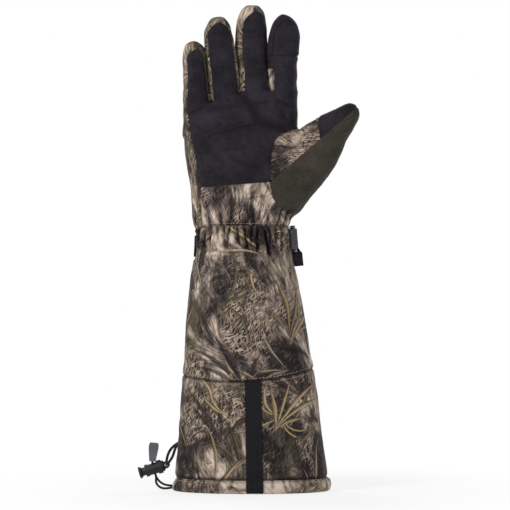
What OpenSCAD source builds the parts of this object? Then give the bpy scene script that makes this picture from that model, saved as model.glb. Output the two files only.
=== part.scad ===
// Insulated gauntlet glove for the right hand, standing on its hem.
// The palm faces -Y, the fingers point up +Z and the thumb points to +X. Units are millimetres.
// Every sewn panel is its own closed shell, and every moving piece is its own node.

/* [Gauntlet] */
// Width of the hem, side to side
hem_w = 151; // [140:1:165]
// Depth of the hem, palm side to back
hem_d = 84; // [72:1:100]
// Height of the hem band
hem_h = 12.2; // [10:0.2:20]
// Height of the seam between the two gauntlet panels, at the middle of the front
mid_seam_z = 106.5; // [95:0.5:120]
// How much higher that seam sits at the sides
mid_seam_rise = 7; // [0:0.5:12]
// How much more it rises on the thumb side than on the other
mid_seam_lean = 3.3; // [0:0.1:6]
// Width of the tape stripe on the lower panel
stripe_w = 15.5; // [10:0.5:24]
// Thickness of the outer fabric
skin = 1.4; // [1:0.1:2]
// Thickness of the insulated lining
pad = 3; // [2:0.1:4]

/* [Wrist] */
// Height of the lower edge of the gathered wrist
gather_z0 = 225; // [215:1:232]
// Height of the stitched seam over the gathers
gather_z1 = 253.5; // [245:0.5:262]
// Width of the wrist at the gathers
wrist_w = 90.8; // [80:0.2:100]
// Depth of the wrist at the gathers
wrist_d = 58; // [48:1:68]
// Number of gathers round the wrist
gathers = 24; // [16:1:28]
// Depth of one gather
gather_depth = 2.4; // [1:0.1:3]
// Width of the wrist strap
strap_w = 22; // [18:0.5:26]
// Thickness of the strap webbing
strap_t = 1.5; // [1:0.1:2.5]
// Rise of the strap from the little finger side to the thumb side, degrees
strap_tilt = 4.2; // [0:0.2:8]

/* [Buckle] */
// Thickness of the buckle rails
buckle_t = 4; // [3:0.2:6]
// Radius of the round bar that the buckle tilts on
buckle_bar_r = 1.6; // [1.2:0.1:2]

/* [Hand] */
// Height of the seam between wrist panel and palm panel
palm_seam_z = 291; // [280:1:300]
// Height of the finger crotches at the middle finger
rim_z = 383; // [375:1:390]
// Fall of the crotch line towards the little finger, per mm
rim_fall = 0.29; // [0:0.01:0.4]
// Length of the soft knuckle sleeve of a finger
knuckle_l = 25; // [24:0.5:28]

/* [Cord lock] */
// Diameter of the elastic draw cord
cord_d = 2.2; // [2:0.1:3]
// Radius of the barrel
barrel_r = 6; // [5:0.1:7.5]
// Length of the barrel
barrel_l = 19; // [16:0.5:24]
// Radius of the plunger
plunger_r = 4; // [3:0.1:4.6]
// Travel of the plunger
plunger_travel = 2.4; // [1.5:0.1:3]
// Tilt of the lock, degrees
lock_tilt = 17; // [0:1:30]

/* [Hidden] */
$fn = 40;

// The glove is drawn about the middle of its hem, then set so that the origin is under the middle of its box
frame_x = -12.2;
frame_y = 0.6;
gap = 0.25;

// Colours
camo = [0.55, 0.48, 0.40];
black = [0.14, 0.13, 0.15];
olive = [0.30, 0.29, 0.22];
fleece = [0.24, 0.24, 0.24];
cord_c = [0.10, 0.10, 0.11];
grey = [0.42, 0.42, 0.44];
steel = [0.70, 0.70, 0.72];

// Small maths
function mix(a, b, w) = a + (b - a) * w;
function unit(v) = v / norm(v);
function bent(x, k) = sign(x) * pow(abs(x), k);
function at(table, z, col) = lookup(z, [for (row = table) [row[0], row[col]]]);

// Gauntlet and wrist: height, middle x, half width, half depth
tube_table = [
  [0, -1, hem_w / 2 - 2.2, hem_d / 2 - 2],
  [hem_h, -0.9, hem_w / 2 - 2.2, hem_d / 2 - 2],
  [38, -1.5, 70.4, 40.5],
  [96, -3.2, 64.6, 39.5],
  [125, -4.8, 60.8, 38.5],
  [165, -6.8, 56.6, 37],
  [185, -7.6, 53.8, 35.6],
  [206, -8.4, 50.6, 33],
  [gather_z0, -9.6, 46.8, 30],
  [239, -10.4, wrist_w / 2, wrist_d / 2],
  [gather_z1, -10.6, wrist_w / 2 - 0.2, wrist_d / 2]
];
tube_k = 2.15;

// Hand: height, middle x, half width, half depth
hand_table = [
  [gather_z1, -10.6, 45.1, 28.6],
  [262, -10.1, 46.6, 28.8],
  [271, -10.3, 48.2, 28.8],
  [palm_seam_z, -9.9, 49.7, 28],
  [307, -10.6, 51.8, 27],
  [322, -11, 53.3, 25.4],
  [346.5, -11.5, 54.7, 22],
  [358, -11.9, 54.9, 19.8],
  [rim_z, -12.3, 54.5, 16.4]
];
hand_k = 2.4;

// Seam lines on the front of the hand: height, left seam x, right seam x
hand_seams = [
  [gather_z1, -51, 33.6],
  [262, -51, 36],
  [265, -51, 32.6],
  [271, -51, 25],
  [280, -50.6, 18.7],
  [palm_seam_z, -50.3, 16.5],
  [307, -52.8, 16.6],
  [322, -55.3, 17.3],
  [335, -57.8, 20.8],
  [342.5, -58.9, 28.3],
  [346.5, -59.4, 41.6],
  [358, -60.9, 41.6],
  [rim_z, -62.2, 41]
];
hole_rows = [262, 265, 271, 280, palm_seam_z, 307, 322, 335, 342.5, 346.5];
hand_rows = concat([gather_z1 + gap], hole_rows, [358]);
front_n = 12;
hole_n = 2;
back_n = 16;
hand_n = front_n + hole_n + back_n;

// Fingers: base x, tip x, tip height, half width, half depth, forward curl of the tip
index = [29.1, 30.2, 455.5, 13.0, 12.6, 9];
middle = [1.7, -2.2, 465.6, 13.9, 12.8, 8];
ring = [-26.1, -33.0, 454.6, 12.8, 12.4, 9];
little = [-53.2, -56.3, 430.6, 12.9, 12.0, 11];
finger_front_n = 6;
finger_back_n = 10;
finger_n = finger_front_n + finger_back_n;
finger_t0 = 232;
finger_t1 = 350;
cap_z = 415.7;

// Thumb: base of its axis, tip, and rows of distance, half width, half depth, sideways shift
thumb_a = [28.8, -6, 305.3];
thumb_b = [100.4, -33, 367];
thumb_dir = unit(thumb_b - thumb_a);
thumb_u = unit(cross(cross(thumb_dir, [-0.653, 0, 0.757]), thumb_dir));
thumb_v = cross(thumb_dir, thumb_u);
thumb_table = [
  [20, 28, 19, -5],
  [39, 24.4, 17.4, -2.6],
  [55, 19.6, 15.4, -1.2],
  [66, 16.2, 13.4, 0],
  [80, 12.2, 11, 0],
  [90, 9, 8.6, 0],
  [94.5, 6.6, 6.4, 0],
  [97, 3.6, 3.6, 0],
  [98, 1, 1, 0]
];
thumb_n = 2 * len(hole_rows) + 2 * (hole_n - 1);
thumb_div = 52;
thumb_slant = 9;

// One closed shell between an outer and an inner grid of points, drawn where keep(row, column) is true
module cells(outer, inner, keep, closed = true, tip = false) {
  rows = len(outer);
  n = len(outer[0]);
  last = closed ? n - 1 : n - 2;
  o = function(r, j) r * n + (j + n) % n;
  i = function(r, j) rows * n + r * n + (j + n) % n;
  on = function(r, j) r >= 0 && r < rows - 1 && (closed || (j >= 0 && j <= last)) && keep(r, (j + n) % n);
  sides = [for (r = [0 : rows - 2]) for (j = [0 : last]) if (on(r, j)) each concat(
    [[o(r, j), o(r + 1, j), o(r + 1, j + 1)], [o(r, j), o(r + 1, j + 1), o(r, j + 1)]],
    [[i(r, j), i(r + 1, j + 1), i(r + 1, j)], [i(r, j), i(r, j + 1), i(r + 1, j + 1)]],
    on(r - 1, j) ? [] :
      [[o(r, j), o(r, j + 1), i(r, j + 1)], [o(r, j), i(r, j + 1), i(r, j)]],
    on(r + 1, j) || (tip && r == rows - 2) ? [] :
      [[o(r + 1, j + 1), o(r + 1, j), i(r + 1, j)], [o(r + 1, j + 1), i(r + 1, j), i(r + 1, j + 1)]],
    on(r, j - 1) ? [] :
      [[o(r + 1, j), o(r, j), i(r, j)], [o(r + 1, j), i(r, j), i(r + 1, j)]],
    on(r, j + 1) ? [] :
      [[o(r, j + 1), o(r + 1, j + 1), i(r + 1, j + 1)], [o(r, j + 1), i(r + 1, j + 1), i(r, j + 1)]]
  )];
  ends = tip ? [for (j = [1 : n - 2]) each [
    [o(rows - 1, 0), o(rows - 1, j + 1), o(rows - 1, j)],
    [i(rows - 1, 0), i(rows - 1, j), i(rows - 1, j + 1)]
  ]] : [];
  polyhedron(points = [for (ring_row = concat(outer, inner)) each ring_row], faces = concat(sides, ends), convexity = 8);
}

// One closed bar through a list of equal rings of points
module bar(rings) {
  n = len(rings[0]);
  m = len(rings);
  p = function(r, j) r * n + j % n;
  sides = [for (r = [0 : m - 2]) for (j = [0 : n - 1]) each [
    [p(r, j), p(r + 1, j), p(r + 1, j + 1)],
    [p(r, j), p(r + 1, j + 1), p(r, j + 1)]
  ]];
  ends = [for (j = [1 : n - 2]) each [[p(0, 0), p(0, j), p(0, j + 1)], [p(m - 1, 0), p(m - 1, j + 1), p(m - 1, j)]]];
  polyhedron(points = [for (ring_row = rings) each ring_row], faces = concat(sides, ends), convexity = 8);
}

// Rings of a round cord along a route
function heading(path, k) = unit(path[min(k + 1, len(path) - 1)] - path[max(k - 1, 0)]);
function cord_rings(path, r, sides, side) = [for (k = [0 : len(path) - 1])
  let (d = heading(path, k), a = unit(cross(d, side)), b = cross(d, a))
  [for (j = [0 : sides - 1]) path[k] + r * (a * cos(360 * j / sides) + b * sin(360 * j / sides))]];

// A point of the gauntlet tube, moved out by off
function tube_point(z, t, off) = [
  at(tube_table, z, 1) + (at(tube_table, z, 2) + off) * bent(cos(t), 2 / tube_k),
  (at(tube_table, z, 3) + off) * bent(sin(t), 2 / tube_k),
  z
];
function gather_amount(z) = gather_depth * lookup(z, [[180, 0], [200, 0.35], [gather_z0, 0.85], [239, 1], [gather_z1, 0.55]]);
function gathered(z, t) = gather_amount(z) * (cos(gathers * t) - 1) / 2;
function tube_ring(z, n, off) = [for (j = [0 : n - 1]) tube_point(z, 360 * j / n, off)];
function gather_ring(z, n, off) = [for (j = [0 : n - 1]) tube_point(z, 360 * j / n, off + gathered(z, 360 * j / n))];
function seam_z(t) = mid_seam_z + mid_seam_rise * pow(cos(t), 2) + mid_seam_lean * cos(t);
function seam_ring(n, off, dz) = [for (j = [0 : n - 1]) tube_point(seam_z(360 * j / n) + dz, 360 * j / n, off)];
gather_n = gathers * 3;
lower_n = 48;
all_cells = function(r, j) true;

// A point of the hand, and the crotch line that closes it
function hand_point(z, t, off) = [
  at(hand_table, z, 1) + (at(hand_table, z, 2) + off) * bent(cos(t), 2 / hand_k),
  (at(hand_table, z, 3) + off) * bent(sin(t), 2 / hand_k),
  z
];
function crotch_z(x) = rim_z + rim_fall * min(0, x + 5);
function front_angle(z, x) = 360 - acos(bent(max(-0.999, min(0.999, (x - at(hand_table, z, 1)) / at(hand_table, z, 2))), hand_k / 2));
function thumb_back_angle(z) = 363 + 30 * sqrt(max(0, 1 - pow((z - 304.25) / 42.3, 2)));
function hand_angle(z, j) =
  let (l = front_angle(z, at(hand_seams, z, 1)), r = front_angle(z, at(hand_seams, z, 2)), b = thumb_back_angle(z))
  j <= front_n ? mix(l, r, j / front_n) :
  j <= front_n + hole_n ? mix(r, b, (j - front_n) / hole_n) :
  mix(b, l + 360, (j - front_n - hole_n) / back_n);
function hand_ring(z, off) = [for (j = [0 : hand_n - 1]) hand_point(z, hand_angle(z, j), off)];
function hand_rim(off, dz) = [for (p = hand_ring(rim_z, off)) [p[0], p[1], crotch_z(p[0]) + dz]];
function hand_grid(off) = concat([for (z = hand_rows) hand_ring(z, off)], [hand_rim(off, 0)]);
palm_row = 5;
hole_first = 1;
hole_last = len(hole_rows);
function in_hole(r, j) = r >= hole_first && r < hole_last && j >= front_n && j < front_n + hole_n;

// A ring of one finger at distance s over its base
function finger_base_z(f) = crotch_z(f[0]);
function finger_len(f) = f[2] - finger_base_z(f);
function finger_mid(f, s) = [mix(f[0], f[1], s / finger_len(f)), -0.4 - f[5] * pow(s / finger_len(f), 2), finger_base_z(f) + s];
function finger_dir(f, s) = unit(finger_mid(f, s + 1) - finger_mid(f, s - 1));
function finger_size(f, s) =
  let (w = max(0, s - (finger_len(f) - f[3])) / f[3])
  mix(1, 0.955, min(1, s / finger_len(f))) * pow(max(0, 1 - pow(w, 2.3)), 1 / 2.3);
function finger_angle(j) = j <= finger_front_n ? mix(finger_t0, finger_t1, j / finger_front_n) :
  mix(finger_t1, finger_t0 + 360, (j - finger_front_n) / finger_back_n);
function finger_ring(f, s, off) =
  let (d = finger_dir(f, s), v = unit(cross(d, cross([0, 1, 0], d))), u = cross(v, d), k = finger_size(f, s))
  [for (j = [0 : finger_n - 1]) let (t = finger_angle(j))
    finger_mid(f, s) + u * max(0.5, f[3] * k + off) * cos(t) + v * max(0.5, f[4] * k + off) * sin(t)];
function finger_foot(f, off) = [for (p = finger_ring(f, 0.5, off)) [p[0], p[1], crotch_z(p[0]) + gap]];
function knuckle_grid(f, off) = [finger_foot(f, off), finger_ring(f, knuckle_l / 2, off), finger_ring(f, knuckle_l, off)];
function tip_rows(f) = let (l = finger_len(f), r = f[3])
  [knuckle_l + gap, (knuckle_l + l - r) / 2, l - r, l - 0.68 * r, l - 0.45 * r, l - 0.26 * r, l - 0.11 * r, l - 0.02 * r];
function index_rows() = let (l = finger_len(index), r = index[3])
  [knuckle_l + gap, cap_z - rim_z, l - r, l - 0.68 * r, l - 0.45 * r, l - 0.26 * r, l - 0.11 * r, l - 0.02 * r];
function finger_grid(f, rows, off) = [for (s = rows) finger_ring(f, s, off)];
function inside_tip(f, rows, off) = [for (s = rows) finger_ring(f, s - max(0, -off * min(1, max(0, (s - finger_len(f) + f[3]) / f[3]))), off)];
front_rows = 4;

// The thumb: a ring round the hole in the hand, then rings along the thumb
function thumb_tau(j) = let (m = (j - 5 + thumb_n) % thumb_n) m <= 10 ? 90 + 18 * m : 270 + 15 * (m - 10);
function thumb_point(s, tau, off) = thumb_a + thumb_dir * s
  + thumb_u * (at(thumb_table, s, 3) + max(0.4, at(thumb_table, s, 1) + off) * cos(tau))
  + thumb_v * max(0.4, at(thumb_table, s, 2) + off) * sin(tau);
function thumb_ring(s, off) = [for (j = [0 : thumb_n - 1]) thumb_point(s, thumb_tau(j), off)];
function thumb_cut(off, ds) = [for (j = [0 : thumb_n - 1]) let (tau = thumb_tau(j))
  thumb_point(thumb_div + thumb_slant * max(0, cos(tau)) + ds, tau, off)];
function hole_point(z, j, off) = hand_point(z, hand_angle(z, j), off);
function hole_loop(off) = let (m = len(hole_rows)) concat(
  [for (r = [m - 1 : -1 : 0]) hole_point(hole_rows[r], front_n, off)],
  [hole_point(hole_rows[0], front_n + 1, off)],
  [for (r = [0 : m - 1]) hole_point(hole_rows[r], front_n + hole_n, off)],
  [hole_point(hole_rows[m - 1], front_n + 1, off)]);
function drawn_in(loop, by) = let (mid = [for (a = [0 : 2]) (max([for (p = loop) p[a]]) + min([for (p = loop) p[a]])) / 2])
  [for (p = loop) p + unit(mid - p) * by];
function thumb_base_row(w, off) = let (start = drawn_in(hole_loop(gap), -off * 1.2), end = thumb_cut(off, 0), bow = thumb_ring(30, off))
  [for (j = [0 : thumb_n - 1]) start[j] * (1 - w) * (1 - w) + bow[j] * 2 * w * (1 - w) + end[j] * w * w];
function thumb_base_grid(off) = [for (w = [0, 0.25, 0.5, 0.75, 1]) thumb_base_row(w, off)];
thumb_tip_rows = [66, 73, 80, 86, 91, 94.5, 97, 98];
function thumb_tip_grid(off) = concat([thumb_cut(off, gap)], [for (s = thumb_tip_rows) thumb_ring(s + off * lookup(s, [[80, 0], [98, 1]]), off)]);
thumb_pad_side = function(j) j < 5 || j >= 15;

// Gauntlet: two printed panels joined by a curved seam
module gauntlet_upper() {
  zs = [135, 165, 185, 206, gather_z0 - gap];
  outer = concat([seam_ring(gather_n, 0, gap)], [for (z = zs) gather_ring(z, gather_n, 0)]);
  inner = concat([seam_ring(gather_n, -skin, gap)], [for (z = zs) gather_ring(z, gather_n, -skin)]);
  color(camo) cells(outer, inner, all_cells);
}

module gauntlet_lower() {
  zs = [hem_h + gap, 38, 75];
  outer = concat([for (z = zs) tube_ring(z, lower_n, 0)], [seam_ring(lower_n, 0, 0)]);
  inner = concat([for (z = zs) tube_ring(z, lower_n, -skin)], [seam_ring(lower_n, -skin, 0)]);
  color(camo) cells(outer, inner, all_cells);
}

// Woven tape down the middle of the palm side, laid over the lower panel and the hem
module gauntlet_stripe() {
  zs = [[0.8, 1.9], [3, 3.1], [hem_h - 2.4, 3.1], [hem_h + 0.6, 0.9], [38, 0.5], [75, 0.5], [mid_seam_z - 0.4, 0.5]];
  xs = [-0.5, -0.25, 0, 0.25, 0.5];
  line = function(z, off) [for (x = xs) let (half = at(tube_table, z, 2) + off, dx = stripe_w * x)
    [0.8 + dx, -(at(tube_table, z, 3) + off) * pow(1 - pow(abs((0.8 + dx - at(tube_table, z, 1)) / half), tube_k), 1 / tube_k), z]];
  color(black) cells([for (z = zs) line(z[0], z[1] + 0.9)], [for (z = zs) line(z[0], z[1])], all_cells, closed = false);
}

// Hem: the fabric folded up inside into an open channel for the draw cord, with a slit where the cord comes out
module hem_channel() {
  fold = [[-5.4, hem_h - 2.4], [-5.4, 5], [-4.6, 1.2], [-2.8, 0], [0.6, 0], [1.9, 1.4], [2.4, 5], [2.2, hem_h - 2.6], [0.4, hem_h]];
  face = [[-4.2, hem_h - 2.4], [-4.2, 5.2], [-3.7, 1.9], [-2.6, 1.2], [0.2, 1.2], [0.8, 2], [1.1, 5.2], [0.9, hem_h - 3], [-0.8, hem_h]];
  exit = function(r, j) r == 5 && (j == lower_n / 2 - 1 || j == lower_n / 2);
  color(camo) cells([for (p = fold) tube_ring(p[1], lower_n, p[0])], [for (p = face) tube_ring(p[1], lower_n, p[0])],
    function(r, j) !exit(r, j));
}

// The part of the elastic draw cord that lies in the hem, its ends at the exit on the little finger side
module hem_cord() {
  route = [for (j = [1 : 35]) tube_point(6, 360 + 348 * (j - 18) / 34, -1.6)];
  color(cord_c) bar(cord_rings(route, cord_d / 2, 6, [0, 0, 1]));
}

// Insulated lining of the gauntlet, cut as a palm half and a back half that meet at the side seams
module gauntlet_lining(palm_side) {
  zs = [hem_h, 60, 125, 185, 206, gather_z0 - gap];
  shift = function(z) -skin - gap - gather_amount(z);
  color(fleece) cells([for (z = zs) tube_ring(z, 36, shift(z))], [for (z = zs) tube_ring(z, 36, shift(z) - pad)],
    function(r, j) (j >= 18) == palm_side);
}

// Wrist: gathered outer fabric, the flat elastic under it and the lining
module wrist_gather() {
  zs = [gather_z0, 232, 239, 246, gather_z1];
  color(camo) cells([for (z = zs) gather_ring(z, gather_n, 0)], [for (z = zs) gather_ring(z, gather_n, -skin)], all_cells);
}

module wrist_elastic() {
  zs = [230, 249];
  off = -skin - gap - gather_depth;
  color(black) cells([for (z = zs) tube_ring(z, 30, off)], [for (z = zs) tube_ring(z, 30, off - 1)], all_cells);
}

module wrist_lining() {
  zs = [gather_z0 + gap, 239, gather_z1 - gap];
  off = -skin - gather_depth - 1.6;
  color(fleece) cells([for (z = zs) tube_ring(z, 30, off)], [for (z = zs) tube_ring(z, 30, off - pad + 0.6)], all_cells);
}

// Strap: webbing round the back of the wrist from the little finger side to a ladder buckle at the thumb side
strap_z = 237.4;
module strap_frame() translate([-10.4, 0, strap_z]) rotate([0, -strap_tilt, 0]) children();
function strap_map(p, w) = [-10.4 + p[0] * cos(strap_tilt) - w * sin(strap_tilt), p[1], strap_z + p[0] * sin(strap_tilt) + w * cos(strap_tilt)];
function strap_point(t, off) = [(wrist_w / 2 + off) * bent(cos(t), 2 / tube_k), (wrist_d / 2 + off) * bent(sin(t), 2 / tube_k)];
function strap_on_wrist(t, w, off) = tube_point(strap_map(strap_point(t, 1), w)[2], t, off);
function band(path, w) = concat(
  [for (k = [0 : len(path) - 1]) let (d = heading(path, k)) path[k] + w / 2 * [-d[1], d[0]]],
  [for (k = [len(path) - 1 : -1 : 0]) let (d = heading(path, k)) path[k] - w / 2 * [-d[1], d[0]]]);
buckle_mid = [49.1, 5];
buckle_turn = 5;
buckle_bars = [-8.4, -0.6, 8.6];
function buckle_point(x, y) = buckle_mid + [x * cos(buckle_turn) - y * sin(buckle_turn), x * sin(buckle_turn) + y * cos(buckle_turn)];

module wrist_strap() {
  half = strap_w / 2 - 0.8;
  thread = [buckle_point(2.7, -0.6), buckle_point(2.2, -2.7), buckle_point(0.8, -3.9), buckle_point(-1.2, -3.8), buckle_point(-2.6, -2.2),
    buckle_point(-2.9, 3), buckle_point(-2.9, 9)];
  ws = [-half, 0, half];
  ts = [for (t = [36 : 7.5 : 186]) t];
  side = function(w, s, off) concat(
    [for (k = [0 : len(thread) - 1]) let (d = heading(thread, k)) strap_map(thread[k] + s * strap_t / 2 * [d[1], -d[0]], w)],
    [for (t = ts) strap_on_wrist(t, w, off)]);
  color(black) cells([for (w = ws) side(w, 1, 0.4 + strap_t)], [for (w = ws) side(w, -1, 0.4)], all_cells, closed = false);
}

// Short loop of webbing from the wrist round the first bar of the buckle
module buckle_loop() {
  b = buckle_bars[0];
  r = buckle_bar_r + 0.45 + strap_t / 2;
  loop_turn = 52;
  wrap = [for (a = [-90 : 20 : 90]) buckle_point(r * cos(loop_turn - a), b + r * sin(loop_turn - a))];
  foot = strap_point(-31, 2 + strap_t / 2);
  head = strap_point(-30, 2.3 + strap_t * 1.5);
  color(black) strap_frame() translate([0, 0, -9.6]) linear_extrude(19.2) polygon(band(concat([foot], wrap, [head]), strap_t));
}

module strap_buckle() {
  rail = 2.2;
  half = 10.6;
  span = buckle_bars[2] - buckle_bars[0];
  color(black) strap_frame() translate([buckle_mid[0], buckle_mid[1], 0]) rotate([0, 0, buckle_turn]) {
    for (s = [-1, 1]) translate([0, 0, s * (half + rail / 2)]) {
      translate([-buckle_t / 2, buckle_bars[0], -rail / 2]) cube([buckle_t, span, rail]);
      translate([0, buckle_bars[0], -rail / 2]) cylinder(r = buckle_t / 2, h = rail);
      translate([0, buckle_bars[2], -rail / 2]) cylinder(r = buckle_t / 2, h = rail);
    }
    translate([0, buckle_bars[0], -half - 0.2]) cylinder(r = buckle_bar_r, h = 2 * half + 0.4);
    translate([0.4, buckle_bars[1], -half - 0.2]) cylinder(r = 1.3, h = 2 * half + 0.4);
    translate([0.2, buckle_bars[2], -half - 0.2]) cylinder(r = 1.7, h = 2 * half + 0.4);
    translate([1.2, buckle_bars[2] + 0.4, half - 3]) cube([1.4, 3.4, 5.4]);
  }
}

// Free end of the strap: it comes out under the last bar and its doubled end droops at the thumb side
module strap_tail() {
  route = [[46.4, 19, -5.5], [49.2, 20.8, -8.5], [52.4, 19.6, -12.5], [54.4, 15.6, -16], [55.2, 11, -18]];
  thick = [strap_t, strap_t, strap_t + 0.4, strap_t * 2.4, strap_t * 2.4];
  tall = [17, 17, 16, 14.5, 14];
  rings = [for (k = [0 : len(route) - 1])
    let (d = heading(route, k), s = unit(cross(d, [0.35, 0, 1])), w = cross(s, d))
    [for (c = [[-1, -1], [1, -1], [1, 1], [-1, 1]]) route[k] + s * c[0] * thick[k] / 2 + w * c[1] * tall[k] / 2]];
  color(black) strap_frame() bar(rings);
}

// Hand: palm and wrist panels at the front, one panel round the back, open where thumb and fingers go on
module wrist_panel() {
  color(camo) cells(hand_grid(0), hand_grid(-skin), function(r, j) j < front_n && r < palm_row && !in_hole(r, j));
}

module palm_panel() {
  color(black) cells(hand_grid(0), hand_grid(-skin), function(r, j) j < front_n && r >= palm_row);
}

module back_panel() {
  color(camo) cells(hand_grid(0), hand_grid(-skin), function(r, j) j >= front_n && !in_hole(r, j));
}

module hand_lining(palm_side) {
  color(fleece) cells(hand_grid(-skin - gap), hand_grid(-skin - gap - pad),
    function(r, j) !in_hole(r, j) && (j < front_n) == palm_side);
}

// Saddles that close the hand between two fingers
module web_between(a, b, n_round = 32) {
  x = (a[0] + a[3] + b[0] - b[3]) / 2;
  reach = 8.5;
  translate([0, 0, crotch_z(x) + 1.2]) linear_extrude(3) difference() {
    polygon([for (p = [[-reach, -10.6], [reach, -10.6], [reach, 10], [-reach, 10]]) [x + p[0], p[1]]]);
    for (f = [a, b]) polygon([for (j = [0 : n_round - 1]) [finger_mid(f, 3)[0], -0.4] + [(f[3] + 0.35) * cos(360 * j / n_round), (f[4] + 0.35) * sin(360 * j / n_round)]]);
  }
}

module finger_webs() {
  color(camo) {
    web_between(little, ring);
    web_between(ring, middle);
    web_between(middle, index);
  }
}

// Thumb: soft base sewn round the hole in the hand, then the rigid tip half that swings
module thumb_panel() {
  color(camo) cells(thumb_base_grid(0), thumb_base_grid(-skin - pad), function(r, j) thumb_pad_side(j));
}

module thumb_base_wipe() {
  color(olive) cells(thumb_base_grid(0), thumb_base_grid(-skin - pad), function(r, j) !thumb_pad_side(j));
}

module thumb_tip_patch() {
  color(black) cells(thumb_tip_grid(0), thumb_tip_grid(-skin), function(r, j) thumb_pad_side(j) || r >= 5, tip = true);
}

module thumb_wipe_panel() {
  color(olive) cells(thumb_tip_grid(0), thumb_tip_grid(-skin), function(r, j) !thumb_pad_side(j) && r < 5);
}

module thumb_lining() {
  color(fleece) cells(thumb_tip_grid(-skin - gap), thumb_tip_grid(-skin - gap - pad), all_cells, tip = true);
}

// Fingers: knuckle sleeves that bend, then front, back and lining of the part that swings
finger_front_side = function(j) j < finger_front_n;

module knuckle(f, front, tint) {
  color(tint) cells(knuckle_grid(f, 0), knuckle_grid(f, -skin - pad), function(r, j) finger_front_side(j) == front);
}

module finger_front(f) {
  color(black) cells(finger_grid(f, tip_rows(f), 0), inside_tip(f, tip_rows(f), -skin),
    function(r, j) finger_front_side(j) && r < front_rows);
}

module finger_back(f) {
  color(camo) cells(finger_grid(f, tip_rows(f), 0), inside_tip(f, tip_rows(f), -skin),
    function(r, j) !finger_front_side(j) || r >= front_rows, tip = true);
}

module finger_lining(f, rows) {
  color(fleece) cells(inside_tip(f, rows, -skin - gap), inside_tip(f, rows, -skin - gap - pad), all_cells, tip = true);
}

module index_front() {
  color(black) cells(finger_grid(index, index_rows(), 0), inside_tip(index, index_rows(), -skin),
    function(r, j) finger_front_side(j) && r < 1);
}

module index_back() {
  color(camo) cells(finger_grid(index, index_rows(), 0), inside_tip(index, index_rows(), -skin),
    function(r, j) !finger_front_side(j) && r < 1);
}

module index_tip_cap() {
  color(black) cells(finger_grid(index, index_rows(), 0), inside_tip(index, index_rows(), -skin),
    function(r, j) r >= 1 && !(j >= 1 && j < finger_front_n - 1 && r < front_rows), tip = true);
}

module index_tip_pad() {
  color(black) cells(finger_grid(index, index_rows(), 0), inside_tip(index, index_rows(), -skin),
    function(r, j) r >= 1 && j >= 1 && j < finger_front_n - 1 && r < front_rows);
}

// Draw cord: two strands from the hem through the lock into the cord end
lock_mid = [-95.4, 0, 20.6];
slot_x = 8;
strand_y = 1.5;
module lock_frame() translate(lock_mid - [slot_x * cos(lock_tilt), 0, slot_x * sin(lock_tilt)]) rotate([0, -lock_tilt, 0]) children();
function lock_point(x, y, z) = lock_mid + [(x - slot_x) * cos(lock_tilt) - z * sin(lock_tilt), y, (x - slot_x) * sin(lock_tilt) + z * cos(lock_tilt)];
end_foot = [-96.5, 0, 27.8];
end_lean = 5;
function end_point(y, z) = end_foot + [z * sin(end_lean), y, z * cos(end_lean)];
strand_a = concat([for (z = [8, 4, 0]) end_point(strand_y, z)], [for (z = [4, 0, -4, -8]) lock_point(slot_x, strand_y, z)],
  [[-91, 1.5, 9.5], [-88, 1.6, 6.8], [-84, 1.7, 4.9], [-77.2, 1.8, 4]]);
strand_b = concat([for (z = [8, 4, 0]) end_point(-strand_y, z)], [for (z = [4, 0, -4, -8]) lock_point(slot_x, -strand_y, z)],
  [[-93, -1.6, 8], [-91.2, -1.8, 4.6], [-88, -2, 2.4], [-84, -2, 1.8], [-77.2, -1.8, 2.6]]);

module draw_cord() {
  color(cord_c) {
    bar(cord_rings(strand_a, cord_d / 2, 8, [0, 1, 0]));
    bar(cord_rings(strand_b, cord_d / 2, 8, [0, 1, 0]));
  }
}

module cord_end() {
  color(grey) translate(end_foot) rotate([0, end_lean, 0]) difference() {
    hull() {
      translate([-3, -3.6, 0]) cube([6, 7.2, 0.4]);
      translate([-4.6, -3.8, 12]) cube([9.2, 7.6, 3.6]);
      translate([-3.8, -3, 15.6]) cube([7.6, 6, 2]);
    }
    for (s = [-1, 1]) translate([0, s * strand_y, -1]) cylinder(r = cord_d / 2 + 0.2, h = 9.6);
  }
}

// Cord lock: barrel with a crosswise slot for the cord, sprung plunger, and a lug for the tether
lug_x = barrel_l + 1.8;
bore_l = 15.4;
module along_x() rotate([0, 90, 0]) children();
module cord_slot(x0, x1, h) {
  for (x = [x0, x1]) for (s = [-1, 1]) translate([x, s * strand_y, -h / 2]) cylinder(r = cord_d / 2 + 0.3, h = h);
  translate([x0, -strand_y - cord_d / 2 - 0.3, -h / 2]) cube([max(0.01, x1 - x0), 2 * strand_y + cord_d + 0.6, h]);
  translate([x0 - cord_d / 2 - 0.3, -strand_y, -h / 2]) cube([x1 - x0 + cord_d + 0.6, 2 * strand_y, h]);
}

module cord_lock_barrel() {
  color(black) lock_frame() difference() {
    union() {
      along_x() cylinder(r = barrel_r - 0.6, h = barrel_l - 1.2);
      along_x() cylinder(r = barrel_r, h = 3);
      along_x() translate([0, 0, 12]) cylinder(r = barrel_r + 0.6, h = 4.2);
      along_x() translate([0, 0, barrel_l - 1.4]) cylinder(r1 = barrel_r - 0.6, r2 = barrel_r - 2, h = 1.4);
      translate([barrel_l - 2, -2.2, -3.4]) cube([3.8, 4.4, 6.8]);
      translate([lug_x, -2.2, 0]) rotate([-90, 0, 0]) cylinder(r = 3.4, h = 4.4);
    }
    along_x() translate([0, 0, -1]) cylinder(r = plunger_r + 0.3, h = bore_l + 1);
    cord_slot(slot_x, slot_x, 30);
    translate([lug_x, -5, 0]) rotate([-90, 0, 0]) cylinder(r = 1.7, h = 10);
  }
}

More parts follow.
